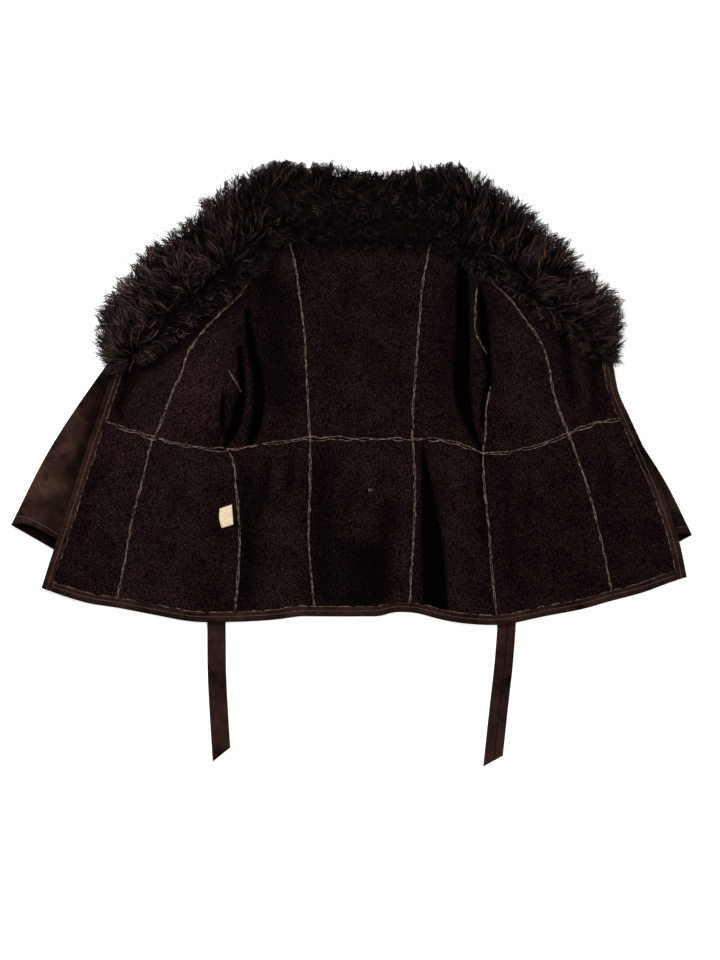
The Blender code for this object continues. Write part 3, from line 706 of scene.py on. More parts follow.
def square_to(points):
    """Unit vectors across a line of points, to the left of its way."""
    along = np.gradient(points[:, :2], axis=0)
    along /= np.maximum(np.linalg.norm(along, axis=1, keepdims=True), 1e-9)
    return np.stack([-along[:, 1], along[:, 0]], axis=-1)


def stitches(name, lines, material, size=(2.0, 0.62, 0.42), step=4.6):
    """Short stitches along lines of table points (x, y, z)."""
    bm = bmesh.new()
    bmesh.ops.create_uvsphere(bm, u_segments=5, v_segments=4, radius=1.0)
    template = mesh_of(bm, "stitch_shape")
    shape = read_points(template)[:, [2, 0, 1]] * np.array(size)
    places = []
    for line in lines:
        fine = np.array(line, float)
        count = max(2, int(length_of(fine) / step))
        along = np.concatenate([[0], np.cumsum(np.linalg.norm(np.diff(fine, axis=0), axis=1))])
        at = (np.arange(count) + 0.5) / count * along[-1]
        centre = np.stack([np.interp(at, along, fine[:, k]) for k in range(3)], axis=-1)
        ahead = np.stack([np.interp(at + 1.5, along, fine[:, k]) for k in range(3)], axis=-1)
        way = ahead - centre
        way /= np.maximum(np.linalg.norm(way, axis=1, keepdims=True), 1e-6)
        side = np.cross((0, 0, 1), way)
        side /= np.maximum(np.linalg.norm(side, axis=1, keepdims=True), 1e-6)
        up = np.cross(way, side)
        axes = np.stack([way, side, up], axis=1)
        places.append(centre[:, None] + np.einsum("vk,nkc->nvc", shape, axes))
    mesh = copies(name, template, placed(np.concatenate(places)))
    bpy.data.meshes.remove(template)
    return new_object(name, mesh, [material])


def finish_piece(obj, nodes=()):
    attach(obj, "root")
    if nodes:
        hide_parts(*nodes)


# ---------------------------------------------------------------- materials


class Tree:
    """Short calls for building a node tree."""

    def __init__(self, tree):
        self.tree = tree

    def add(self, kind, inputs=None, **settings):
        made = self.tree.nodes.new(kind)
        for key, value in settings.items():
            setattr(made, key, value)
        for key, value in (inputs or {}).items():
            if isinstance(value, bpy.types.NodeSocket):
                self.tree.links.new(value, made.inputs[key])
            else:
                made.inputs[key].default_value = value
        return made

    def noise(self, vector, scale, detail=2.0, rough=0.5, distortion=0.0):
        made = self.add(
            "ShaderNodeTexNoise",
            {
                "Vector": vector, "Scale": scale, "Detail": detail, "Roughness": rough,
                "Distortion": distortion,
            },
        )
        return made.outputs["Fac"]

    def spread(self, value, low, high, to_low=0.0, to_high=1.0):
        made = self.add(
            "ShaderNodeMapRange",
            {"Value": value, "From Min": low, "From Max": high, "To Min": to_low, "To Max": to_high},
        )
        return made.outputs["Result"]

    def maths(self, operation, a, b):
        return self.add("ShaderNodeMath", {0: a, 1: b}, operation=operation).outputs[0]

    def blend(self, share, a, b):
        made = self.add("ShaderNodeMix", {0: share, 6: a, 7: b}, data_type="RGBA")
        return made.outputs[2]

    def darker(self, colour, share):
        made = self.add(
            "ShaderNodeMix", {0: 1.0, 6: colour, 7: share}, data_type="RGBA", blend_type="MULTIPLY"
        )
        return made.outputs[2]

    def attribute(self, name):
        return self.add("ShaderNodeAttribute", attribute_name=name).outputs["Fac"]

    def apply_painted_shading(self, colour):
        """The colour under painted shading: nearly black where its value is 1, paler where it is below 0."""
        depth = self.add(
            "ShaderNodeMapRange", {"Value": self.attribute("painted_shading"), "To Min": 1.0, "To Max": 0.02},
            clamp=False,
        )
        return self.darker(colour, depth.outputs["Result"])

    def group(self, group, vector):
        made = self.add("ShaderNodeGroup", node_tree=group)
        self.tree.links.new(vector, made.inputs[0])
        return made.outputs


def made_once(build):
    """Builds a material or a node group once, and hands the same one out again."""

    def find_or_build(name, *rest, **options):
        found = bpy.data.materials.get(name) or bpy.data.node_groups.get(name)
        return found or build(name, *rest, **options)

    return find_or_build


def mask_group(name):
    """A node group from a vector to a mask and a height, with its tree and its two ends."""
    group = bpy.data.node_groups.new(name, "ShaderNodeTree")
    group.interface.new_socket("Vector", in_out="INPUT", socket_type="NodeSocketVector")
    for key in ("Mask", "Height"):
        group.interface.new_socket(key, in_out="OUTPUT", socket_type="NodeSocketFloat")
    source, target = group.nodes.new("NodeGroupInput"), group.nodes.new("NodeGroupOutput")
    return group, Tree(group), source.outputs[0], target.inputs


@made_once
def nap_group(name):
    """Tufts of a sheared fleece, longer along the second axis: the mask is 1 on them."""
    made, t, vector, ends = mask_group(name)

    def vector_maths(operation, a, b):
        return t.add("ShaderNodeVectorMath", {0: a, 1: b}, operation=operation).outputs[0]

    bend = t.add("ShaderNodeTexNoise", {"Vector": vector, "Scale": 60.0, "Detail": 1.0})
    off = vector_maths("SUBTRACT", bend.outputs["Color"], (0.5, 0.5, 0.5))
    push = t.add("ShaderNodeVectorMath", {0: off, "Scale": 0.009}, operation="SCALE")
    drawn = vector_maths("MULTIPLY", vector_maths("ADD", vector, push.outputs[0]), (1.0, 0.42, 1.0))
    tufts = t.noise(drawn, 300.0, 3.0, 0.65, 1.2)
    curls = t.add("ShaderNodeTexVoronoi", {"Vector": drawn, "Scale": 320.0}, feature="DISTANCE_TO_EDGE")
    ridges = t.spread(curls.outputs["Distance"], 0.0, 0.3)
    mixed = t.maths("ADD", t.maths("MULTIPLY", tufts, 0.62), t.maths("MULTIPLY", ridges, 0.38))
    t.tree.links.new(t.spread(mixed, 0.36, 0.58), ends["Mask"])
    t.tree.links.new(mixed, ends["Height"])
    return made


@made_once
def mottle_group(name):
    """Worn patches of suede, where the mask is 1, and its fine grain as a height."""
    made, t, vector, ends = mask_group(name)
    broad = t.noise(vector, 11.0, 3.0, 0.6, 0.4)
    middle = t.noise(vector, 55.0, 3.0, 0.65)
    fine = t.noise(vector, 420.0, 2.0, 0.6)
    mixed = t.maths("ADD", t.maths("MULTIPLY", broad, 0.5), t.maths("MULTIPLY", middle, 0.34))
    mixed = t.maths("ADD", mixed, t.maths("MULTIPLY", fine, 0.16))
    t.tree.links.new(t.spread(mixed, 0.36, 0.64), ends["Mask"])
    t.tree.links.new(fine, ends["Height"])
    return made


def new_material(name, rough, gloss):
    made = bpy.data.materials.new(name)
    made.use_nodes = True
    shader = made.node_tree.nodes["Principled BSDF"]
    shader.inputs["Roughness"].default_value = rough
    shader.inputs["Specular IOR Level"].default_value = gloss
    return made, Tree(made.node_tree), shader


def finish_material(t, shader, colour, height=None, distance=0.0):
    """Colours the shader, and raises its surface by a height."""
    t.tree.links.new(colour, shader.inputs["Base Color"])
    if height is not None:
        made = t.add("ShaderNodeBump", {"Height": height, "Distance": distance, "Strength": 1.0})
        t.tree.links.new(made.outputs[0], shader.inputs["Normal"])


@made_once
def fleece_material(name, dark, light, from_cut=True):
    """Sheared fleece. On panels it runs down the cut, and painted shade darkens it in the slots and hollows,
    while painted light makes some stretches paler.
    """
    made, t, shader = new_material(name, 0.9, 0.01)
    if from_cut:
        vector = t.add("ShaderNodeUVMap", uv_map="cut").outputs[0]
    else:
        vector = t.add("ShaderNodeTexCoord").outputs["Object"]
    nap = t.group(nap_group("nap"), vector)
    patches = t.noise(vector, 11.0, 3.0, 0.6)
    share = t.maths("MULTIPLY", nap["Mask"], t.spread(patches, 0.32, 0.68, 0.6, 1.22))
    colour = t.blend(share, dark, light)
    finish_material(t, shader, t.apply_painted_shading(colour) if from_cut else colour, nap["Height"], 0.007)
    return made


@made_once
def suede_material(name, dark, light, shaded=False):
    """Suede with worn patches. With painted shading, the painted shade that its mesh carries darkens it."""
    made, t, shader = new_material(name, 0.85, 0.02)
    patches = t.group(mottle_group("mottle"), t.add("ShaderNodeTexCoord").outputs["Object"])
    colour = t.blend(patches["Mask"], dark, light)
    finish_material(t, shader, t.apply_painted_shading(colour) if shaded else colour, patches["Height"], 0.0008)
    return made


@made_once
def speckled_material(name, dark, light, scale, low=0.35, high=0.65, height=0.0006):
    """Two tones in small uneven patches."""
    made, t, shader = new_material(name, 0.9, 0.02)
    value = t.noise(t.add("ShaderNodeTexCoord").outputs["Object"], scale, 3.0, 0.65)
    finish_material(t, shader, t.blend(t.spread(value, low, high), dark, light), value, height)
    return made


def raw_hide_material(cloth):
    return speckled_material("raw_hide", cloth.edge_dark, cloth.edge_light, 130.0, 0.36, 0.68, 0.001)


def thread_material(cloth):
    return speckled_material("thread", cloth.suede_light, cloth.edge_light, 300.0)


@made_once
def fur_material(name, root, tip, auburn):
    """Long fur: darker at the root, partly its own colour and partly painted shade down among the strands;
    lighter at the tip; some locks auburn.
    """
    made, t, shader = new_material(name, 0.5, 0.035)
    share = t.maths("MULTIPLY", t.spread(t.attribute("along"), 0.25, 1.0), t.attribute("tone"))
    finish_material(t, shader, t.blend(share, root, t.blend(t.attribute("auburn"), tip, auburn)))
    return made


# ---------------------------------------------------------------- settings


def colour_property(name, description, default):
    return bpy.props.FloatVectorProperty(
        name=name, description=description, default=default, size=4, subtype="COLOR", min=0.0, max=1.0
    )


def number_property(name, description, default, unit):
    return bpy.props.FloatProperty(name=name, description=description, default=default, unit=unit)


class CoatClothSettings(bpy.types.PropertyGroup):
    """Colours and sizes of the panels, sleeves and belt."""

    fleece_dark: colour_property("Fleece shade", "Fleece between its tufts", (0.0014, 0.0006, 0.0005, 1))
    fleece_light: colour_property("Fleece", "Fleece on its tufts", (0.0212, 0.0106, 0.0097, 1))
    suede_dark: colour_property("Suede shade", "Darker patches of the suede", (0.0014, 0.0005, 0.0004, 1))
    suede_light: colour_property("Suede", "Worn patches of the suede", (0.048, 0.0226, 0.0162, 1))
    band_dark: colour_property("Turned edge shade", "Their darker patches", (0.0008, 0.0003, 0.0002, 1))
    band_light: colour_property("Turned edge", "Their lighter patches", (0.027, 0.0122, 0.009, 1))
    belt_dark: colour_property("Belt shade", "Darker patches of the belt", (0.0042, 0.0018, 0.0013, 1))
    belt_light: colour_property("Belt", "Lighter patches of the belt", (0.03, 0.0138, 0.0102, 1))
    edge_dark: colour_property("Raw edge shade", "Darker hide at the seams", (0.012, 0.007, 0.005, 1))
    edge_light: colour_property("Raw edge", "Raw hide at the seams", (0.17, 0.118, 0.09, 1))
    label: colour_property("Label", "The blank care label", (0.62, 0.5, 0.34, 1))
    seam_width: number_property("Seam edge width", "Width of one raw edge at a seam", 1.9 * MM, "LENGTH")


class CoatFurSettings(bpy.types.PropertyGroup):
    """Colours and lengths of the collar's fur."""

    root: colour_property("Root", "Fur at the hide", (0.0004, 0.0002, 0.0002, 1))
    tip: colour_property("Tip", "Fur at its tips", (0.148, 0.081, 0.072, 1))
    auburn: colour_property("Auburn", "Tips of the reddish locks", (0.3, 0.15, 0.085, 1))
    length: number_property("Lock length", "Length of an average lock", 52 * MM, "LENGTH")


class CoatStageSettings(bpy.types.PropertyGroup):
    """Floor, light and camera."""

    floor: colour_property("Floor", "The pale floor", (0.92, 0.92, 0.92, 1))
    key_power: number_property("Key light", "Power of the key light", 120.0, "POWER")
    camera_height: number_property("Camera height", "Height of the camera over the coat", 8.0, "LENGTH")


# ---------------------------------------------------------------- panels


def panel_grid(name, seams, right_seam, left_seam, top_line, bottom_line):
    """The (x, y) grid of a panel between its two seams."""
    right_line = snapped(seams[right_seam], top_line, bottom_line)
    left_line = snapped(seams[left_seam], top_line, bottom_line)
    rows = int(max(length_of(right_line), length_of(left_line)) / PANEL_STEP) + 1
    down = np.linspace(0, 1, rows)
    right, left = curve(right_line, down), curve(left_line, down)
    widest = np.linalg.norm(left - right, axis=1).max()
    across = np.linspace(0, 1, max(4, int(widest / PANEL_STEP)))
    if top_line is None:
        top = curve([tuple(right[0]), *NECK_EDGES[name], tuple(left[0])], across)
    else:
        top = between(top_line, right[0], left[0], across)
    bottom = between(bottom_line, right[-1], left[-1], across)
    u = across[:, None, None]
    v = down[None, :, None]
    ruled = (1 - u) * right[None] + u * left[None] + (1 - v) * top[:, None] + v * bottom[:, None]
    corners = (
        (1 - u) * (1 - v) * right[0] + u * (1 - v) * left[0] + (1 - u) * v * right[-1] + u * v * left[-1]
    )
    return ruled - corners


def all_panels():
    """The name, the (x, y) grid and the rests of each panel."""
    for panels, seams, top_line, bottom_line in BODY_PARTS:
        for name, right_seam, left_seam, rests in panels:
            yield name, panel_grid(name, seams, right_seam, left_seam, top_line, bottom_line), rests


class COAT_OT_panels(bpy.types.Operator):
    """Builds the fourteen fleece panels, with suede on their outside"""

    bl_idname = "coat.panels"
    bl_label = "Panels"

    def execute(self, context):
        cloth = context.scene.coat_cloth
        fleece = fleece_material("fleece_nap", cloth.fleece_dark, cloth.fleece_light)
        suede = suede_material("suede_outside", cloth.suede_dark, cloth.suede_light)
        for name, flat, rests in all_panels():
            x, y = flat[..., 0], flat[..., 1]
            top_z = cloth_top(x, y)
            top = lifted(flat, top_z)
            under = lifted(flat, np.maximum(top_z - PANEL_THICK, 0.1))
            # painted shading on each panel: painted shade in slots, hollows and under the collar, painted
            # light on paler stretches
            obj = slab(name + "_fleece", top, under, [fleece, suede], {"painted_shading": shade(x, y)})
            finish_piece(obj, [name])
            width, length, area = FLAT[name]
            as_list(rests)
        return {"FINISHED"}


# ---------------------------------------------------------------- bands and seams


def band(name, edge, width, materials):
    """A strip of suede turned over an edge: rounded at the fold, with a raw inner edge."""
    line = along_line(edge, 4.0)
    side = square_to(line)
    across = np.array(BAND_ACROSS)
    ragged = 0.6 * wander(line[:, 0], line[:, 1], 7.0, 21)
    reach = width * across[:, None] + ragged[None] * (across[:, None] > 0.9)
    flat = line[None] + side[None] * reach[..., None]
    base = cloth_top(flat[..., 0], flat[..., 1])
    rounded = np.array([-2.2, 0.2, 1.0, 1.0, 0.8, 0.9, 1.1, 0.5]) * BAND_THICK
    seat = np.array([-4.6, -1.0, 0.2, 0.2, 0.2, 0.2, 0.2, 0.2])
    puff = 0.35 * wander(flat[..., 0], flat[..., 1], 14.0, 22)
    top = lifted(flat, base + rounded[:, None] + puff + BAND_LIFT)
    under = lifted(flat, np.maximum(base + seat[:, None], 0.05))
    return top, slab(name, top, under, materials)


def hem_part(start_x, end_x):
    x = np.linspace(start_x, end_x, max(6, int(abs(end_x - start_x) / 12)))
    return np.stack([x, height_on(HEM, x)], axis=-1)


class COAT_OT_bands(bpy.types.Operator):
    """Builds the suede turned up along the hem and the front edges, and its stitching"""

    bl_idname = "coat.bands"
    bl_label = "Turned bands"

    def execute(self, context):
        cloth = context.scene.coat_cloth
        suede = suede_material("band_suede", cloth.band_dark, cloth.band_light)
        rows, edges, pieces = [], [], []
        for side in ("right", "left"):
            for part, (_, seams, top_line, bottom_line) in zip(("upper", "skirt"), BODY_PARTS):
                seam = snapped(seams["front_edge_" + side], top_line, bottom_line)
                line = curve(seam, np.linspace(0, 1, 24))
                pieces.append((f"edge_band_{part}_{side}", line if side == "right" else line[::-1]))
        inset = BAND_WIDTH + 1.0
        for name, right_seam, left_seam, _ in SKIRT_PANELS:
            start, end = SKIRT_SEAMS[right_seam][-1][0], SKIRT_SEAMS[left_seam][-1][0]
            start += inset if right_seam.startswith("front_edge") else 0.0
            end -= inset if left_seam.startswith("front_edge") else 0.0
            pieces.append((name.replace("skirt", "hem_band"), hem_part(start, end)))
        for name, line in pieces:
            top, obj = band(name + "_suede", line, BAND_WIDTH, [suede])
            finish_piece(obj, [name])
            width, length, area = FLAT[name]
            rows.append(top[STITCH_ROW] + (0, 0, 0.15))
            edges.append(top[RAW_ROW])
        obj = stitches("band_stitches", rows, thread_material(cloth))
        finish_piece(obj)
        rings = [raw_edge(line[:, :2], 0.0, 2.1, 301 + 5 * k, 0.9) for k, line in enumerate(edges)]
        mesh = joined("raw_band_edges", [rod("edge", ring)[0] for ring in rings])
        obj = new_object("raw_band_edges", mesh, [raw_hide_material(cloth)])
        finish_piece(obj)
        return {"FINISHED"}


def raw_edge(line, offset, width, seed, sway_by=0.8):
    """Rings of one raw edge of hide along a seam: a thin uneven rod, proud of the fleece."""
    step = 3.2
    p = along_line(line, step)
    side = square_to(p)
    t = np.arange(len(p)) * step
    slow = wander(t, 0 * t + seed * 7.0, 7.0 + 5.0 * sway_by, seed)
    sway = 1.5 * sway_by * slow + 1.1 * wander(t, 0 * t, 5.0, seed + 1)
    half = width / 2 * (1 + 0.55 * wander(t, 0 * t, 7.0, seed + 2))
    middle = p[:, :2] + side * (offset + sway)[:, None]
    base = cloth_top(middle[:, 0], middle[:, 1])
    lift = 0.8 + 0.4 * wander(t, 0 * t, 9.0, seed + 3)
    ring = []
    for across, up in ((-1, -0.8), (-0.7, 0.9), (0.5, 1.1), (1, -0.8)):
        ring.append(lifted(middle + side * (half * across)[:, None], base + lift + up))
    return np.stack(ring, axis=1)


class COAT_OT_seams(bpy.types.Operator):
    """Builds the raw hide edges that show at each seam on the fleece side"""

    bl_idname = "coat.seams"
    bl_label = "Raw seam edges"

    def execute(self, context):
        cloth = context.scene.coat_cloth
        lines = []
        for _, seams, top_line, bottom_line in BODY_PARTS:
            for name in seams:
                hidden = name.startswith("armhole")
                if not name.startswith("front_edge") and not hidden:
                    line = snapped(seams[name], top_line, bottom_line)
                    last = 0.955 if seams is SKIRT_SEAMS else 1.0
                    lines.append((curve(line, np.linspace(0, last, 20)), 1.0))
        lines += [(line, 0.8) for line in ARM_EDGES]
        lines.append((curve(WAIST, np.linspace(0.02, 0.98, 90)), 1.5))
        width = cloth.seam_width / MM
        meshes = []
        for k, (line, wide) in enumerate(lines):
            sway_by = 2.0 if wide > 1.2 else 0.8
            for n, across in enumerate((-0.55, 0.55)):
                offset, thick = across * width * wide**1.6, width * (0.6 + 0.4 * min(wide, 1.2))
                meshes.append(rod("edge", raw_edge(line, offset, thick, 31 + 5 * k + n, sway_by))[0])
        mesh = joined("raw_seam_edges", meshes)
        obj = new_object("raw_seam_edges", mesh, [raw_hide_material(cloth)])
        finish_piece(obj)
        return {"FINISHED"}


# ---------------------------------------------------------------- sleeves and belt


def sleeve_ring(middle, half, height, wall, slant, sides):
    """One section of a flattened sleeve: a flat base and a low arch."""
    turn = 2 * math.pi * np.arange(sides) / sides
    reach = np.linalg.norm(half)
    side = np.sign(np.cos(turn)) * np.abs(np.cos(turn)) ** SLEEVE_SIDE_POWER * (1 - wall / reach)
    rise = np.sin(turn)
    low = wall + (height / 2 - wall) * (1 - np.abs(rise) ** SLEEVE_LOW_POWER)
    high = height / 2 + (height / 2 - wall) * np.abs(rise) ** SLEEVE_HIGH_POWER
    z = np.where(rise < 0, low, high)
    flat = middle + half[None] * side[:, None] + slant[None] * np.maximum(rise, 0.0)[:, None]
    return lifted(flat, z), rise


class COAT_OT_sleeves(bpy.types.Operator):
    """Builds the two suede sleeves, fleece inside, with stitched cuffs"""

    bl_idname = "coat.sleeves"
    bl_label = "Sleeves"

    def execute(self, context):
        cloth = context.scene.coat_cloth
        suede = suede_material("sleeve_suede", cloth.suede_dark, cloth.suede_light, shaded=True)
        fleece = fleece_material("lining_fleece", cloth.fleece_dark, cloth.fleece_light, from_cut=False)
        rows = []
        for name, edges in SLEEVES.items():
            obj, row = self.sleeve(name, edges, [suede, fleece])
            rows.append(row)
            finish_piece(obj, [name])
            width, length, area = FLAT[name]
        obj = stitches("cuff_stitches", rows, thread_material(cloth))
        finish_piece(obj)
        return {"FINISHED"}

    def skin(self, edges, shares, wall):
        """Rings of one side of the hide, `wall` in from its outside."""
        outer, inner = curve(edges["outer"], shares), curve(edges["inner"], shares)
        middle, halves = (outer + inner) / 2, (outer - inner) / 2
        axis = np.gradient(middle, axis=0)
        axis /= np.linalg.norm(axis, axis=1, keepdims=True)
        heights_along = np.interp(shares, *np.array(SLEEVE_HEIGHTS).T)
        from_cuff = shares * length_of(middle)
        rings = []
        for k, share in enumerate(shares):
            slant = axis[k] * CUFF_SLANT * max(0.0, 1 - share / 0.25)
            ring, rise = sleeve_ring(middle[k], halves[k], heights_along[k], wall, slant, SLEEVE_SIDES)
            x, y = ring[:, 0], ring[:, 1]
            wave = 1.6 * wander(x, y, 58.0, 61) + 0.7 * wander(x, y, 23.0, 62)
            ring[:, 2] += wave * np.maximum(rise, 0.0) ** 0.5
            hem = math.exp(-(((from_cuff[k] - CUFF_HEM) / 2.0) ** 2))
            rim = 1.2 * eased(1 - from_cuff[k] / 3.0)
            pinch = (hem + rim) * (1 if wall == 0.0 else -0.5)
            ring[:, 2] -= pinch * np.minimum(np.abs(rise) * 3, 1) * (rise > 0)
            ring[:, 2] = np.maximum(ring[:, 2], 0.0)
            rings.append(ring)
        return np.array(rings), from_cuff

    def sleeve(self, name, edges, materials):
        """A tube with a wall, turned round an axis and then laid into its rings."""
        shares = np.concatenate([np.linspace(0, 0.07, 15), np.linspace(0.085, 1, 62)])
        outside, from_cuff = self.skin(edges, shares, 0.0)
        inside, _ = self.skin(edges, shares, SLEEVE_WALL)
        stations = len(shares)
        bm = bmesh.new()
        wall = [bm.verts.new((2.0, 0.0, float(k))) for k in range(stations)]
        wall += [bm.verts.new((1.0, 0.0, float(k))) for k in reversed(range(stations))]
        profile = [bm.edges.new((a, b)) for a, b in zip(wall, wall[1:] + wall[:1])]
        bmesh.ops.spin(
            bm, geom=wall + profile, cent=(0, 0, 0), axis=(0, 0, 1), angle=2 * math.pi,
            steps=SLEEVE_SIDES, use_merge=True,
        )
        mesh = mesh_of(bm, name)
        co = read_points(mesh)
        inner = np.hypot(co[:, 0], co[:, 1]) < 1.5
        k = np.rint(co[:, 2]).astype(int)
        turn = np.arctan2(co[:, 1], co[:, 0]) / (2 * math.pi)
        side = np.rint(turn * SLEEVE_SIDES).astype(int) % SLEEVE_SIDES
        points = np.where(inner[:, None], inside[k, side], outside[k, side])
        write_points(mesh, placed(points))
        # painted shade beside the coat's front edge, for the sleeve's material
        add_values(mesh, "painted_shading", self.dusk(name, points[..., 0], points[..., 1]))
        lining = inner[face_corners(mesh)].reshape(-1, 4).all(axis=1)
        mesh.polygons.foreach_set("material_index", lining.astype(np.int32))
        obj = new_object(name + "_suede", outward(mesh), materials)
        row_at = int(np.argmin(np.abs(from_cuff - CUFF_HEM)))
        return obj, outside[row_at][2 : SLEEVE_SIDES // 2 - 1] + (0, 0, 0.3)

    def dusk(self, name, x, y):
        """Painted shade on the suede: darkest beside the coat's front edge, where the sleeve comes out from
        under the coat, over an even darkening and random patches.
        """
        seam = "front_edge_" + name.rpartition("_")[2]
        d, _, _ = distance_to(BODICE_SEAMS[seam] + SKIRT_SEAMS[seam][1:], x, y)
        dusk = SLEEVE_DUSK[name] * np.exp(-((d / SLEEVE_DUSK_REACH) ** 2)) + 0.16
        return np.clip(dusk + 0.3 * wander(x, y, 34.0, 63), 0.0, 0.85)


def belt_rings():
    """Four corners of the belt at each of its sections, from the right tip to the left."""
    half = BELT_WIDTH / 2
    over = BELT_THICK + 0.3
    rings = []

    def section(a, b, low, flipped=False):
        if flipped:
            rings.append([(*a, BELT_THICK), (*b, BELT_THICK), (*b, 0.0), (*a, 0.0)])
        else:
            rings.append([(*a, low), (*b, low), (*b, low + BELT_THICK), (*a, low + BELT_THICK)])

    def end_part(line, sign, flipped):
        """A hanging end of the strap, its tip cut at a slant."""
        points = curve(line, np.linspace(0, 1, 80))
        side = square_to(points)
        way = np.stack([side[:, 1], -side[:, 0]], axis=-1)
        for k, point in enumerate(points):
            from_tip = k if sign > 0 else len(points) - 1 - k
            lean = way[k] * BELT_TIP_SLANT * max(0.0, 1 - from_tip / 3.0)
            across = side[k] * half - lean
            section(point + sign * across, point - sign * across, 0.0, flipped)

    end_part(BELT_END_RIGHT, 1, False)
    x, y = BELT_CORNER_RIGHT
    for height in (0.45, 1.0):
        at = y - half - (1.1 - height) * 34
        section(np.array((x - half, at)), np.array((x + half, at)), over * height)
    fold = [np.array((x - half, y - half)), np.array((x + half, y + half))]
    section(fold[0], fold[1], over)
    out = np.array((-1, 1)) * BELT_THICK * 0.7
    rings.append([(*fold[0], over), (*fold[1], over), (*(fold[1] + out), over), (*(fold[0] + out), over)])
    section(fold[0], fold[1], 0.0, True)
    run_to = BELT_RUN_END - BELT_TURN_RADIUS
    for at in np.linspace(x + half + 12, run_to, 24):
        section(np.array((at, y - half)), np.array((at, y + half)), 0.0, True)
    for angle in np.linspace(0, math.pi / 2, 12)[1:]:
        centre = np.array((run_to, -BELT_TURN_RADIUS))
        ray = np.array((math.sin(angle), math.cos(angle)))
        near, far = BELT_TURN_RADIUS - half, BELT_TURN_RADIUS + half
        section(centre + ray * near, centre + ray * far, 0.0, True)
    end_part(BELT_END_LEFT, -1, True)
    return np.array(rings, float)


class COAT_OT_belt(bpy.types.Operator):
    """Builds the suede belt that runs under the back and shows below the hem"""

    bl_idname = "coat.belt"
    bl_label = "Belt"

    def execute(self, context):
        cloth = context.scene.coat_cloth
        suede = suede_material("belt_hide", cloth.belt_dark, cloth.belt_light)
        corners = belt_rings()
        outline = np.array(BELT_OUTLINE)
        u, t = outline[:, 0][None, :, None], outline[:, 1][None, :, None]
        a, b, c, d = (corners[:, k][:, None] for k in range(4))
        rings = (1 - t) * ((1 - u) * a + u * b) + t * ((1 - u) * d + u * c)
        x, y = rings[..., 0], rings[..., 1]
        ripple = 0.5 * wander(x, y, 34.0, 71) + 0.25 * wander(x, y, 9.0, 72)
        rings[..., 2] += np.where(rings[..., 2] > 1.5, ripple, 0.0)
        mesh = rod("belt_strap", rings)[0]
        obj = new_object("belt_strap", outward(mesh), [suede])
        finish_piece(obj, ["belt"])
        rows = []
        for line in (BELT_END_RIGHT, BELT_END_LEFT):
            p = curve(line, np.linspace(0.02, 0.98, 90))
            for edge in (-1, 1):
                rows.append(lifted(p + square_to(p) * edge * (BELT_WIDTH / 2 - 3.2), BELT_THICK - 0.1))
        dark = suede_material("belt_thread", cloth.belt_dark, cloth.suede_light)
        obj = stitches("belt_stitches", rows, dark, size=(1.5, 0.45, 0.35), step=3.6)
        finish_piece(obj)
        # A near-black rod down the left end of the belt: painted shade in the join there.
        join = curve(BELT_END_LEFT, np.linspace(0.05, 0.99, 70))
        sway = 1.5 + 0.5 * wander(join[:, 0], join[:, 1], 40.0, 73)
        join = join + square_to(join) * sway[:, None]
        side = square_to(join)
        top = BELT_THICK + 0.5
        ring = [lifted(join + side * a, z) for a, z in ((-0.8, 2.0), (-0.6, top), (0.6, top), (0.8, 2.0))]
        black = speckled_material("join_shade", (0.002, 0.001, 0.001, 1), (0.006, 0.003, 0.002, 1), 90.0)
        obj = new_object("belt_join", outward(rod("belt_join", np.stack(ring, axis=1))[0]), [black])
        finish_piece(obj)
        return {"FINISHED"}


class COAT_OT_label(bpy.types.Operator):
    """Builds the blank care label and the loose thread end on the back"""

    bl_idname = "coat.label"
    bl_label = "Label"

    def execute(self, context):
        cloth = context.scene.coat_cloth
        dark = tuple(0.72 * c for c in cloth.label[:3]) + (1,)
        woven = speckled_material("label_weave", dark, cloth.label, 240.0)
        corners = np.array(LABEL_CORNERS, float)
        u = np.linspace(0, 1, 13)[:, None, None]
        v = np.linspace(0, 1, 17)[None, :, None]
        flat = (1 - v) * ((1 - u) * corners[0] + u * corners[1]) + v * ((1 - u) * corners[3] + u * corners[2])
        flat[..., 0] -= 3.0 * (1 - u[..., 0]) * np.sin(math.pi * v[..., 0])
        curl = 1.8 * v[..., 0] ** 2 + 0.8 * np.sin(5.0 * u[..., 0] + 1.0) * v[..., 0]
        base = cloth_top(flat[..., 0], flat[..., 1]) + 0.5
        obj = slab("care_label_cloth", lifted(flat, base + curl + 0.8), lifted(flat, base + curl), [woven])
        finish_piece(obj, ["care_label"])
        width, length, area = FLAT["care_label"]
        t = np.linspace(0, 1, 22)
        x = THREAD_AT[0] - 4 + 8 * t + 1.6 * np.sin(14 * t)
        y = THREAD_AT[1] + 2.4 * np.sin(9 * t + 0.6)
        z = cloth_top(x, y) + 1.0 + 0.6 * np.sin(11 * t)
        line = np.stack([x, y, z], axis=-1)
        side = square_to(line)
        ring = []
        for angle in np.linspace(0, 2 * math.pi, 6)[:-1]:
            ring.append(line + lifted(side * 0.4 * math.cos(angle), 0.4 * math.sin(angle)))
        pale = speckled_material("loose_thread", (0.08, 0.075, 0.08, 1), (0.2, 0.19, 0.2, 1), 200.0)
        obj = new_object("loose_thread", outward(rod("loose_thread", np.stack(ring, axis=1))[0]), [pale])
        finish_piece(obj)
        return {"FINISHED"}


# ---------------------------------------------------------------- collar


def collar_lines(stations):
    """Outer and neck edge of the collar at these stations of its table, smoothed."""
    table = np.array(COLLAR, float)
    knots = np.linspace(0, 1, len(table))
    shares = np.asarray(stations, float) / (len(table) - 1)
    return [smoothed(table[:, k : k + 2], knots, shares) for k in (0, 2)]


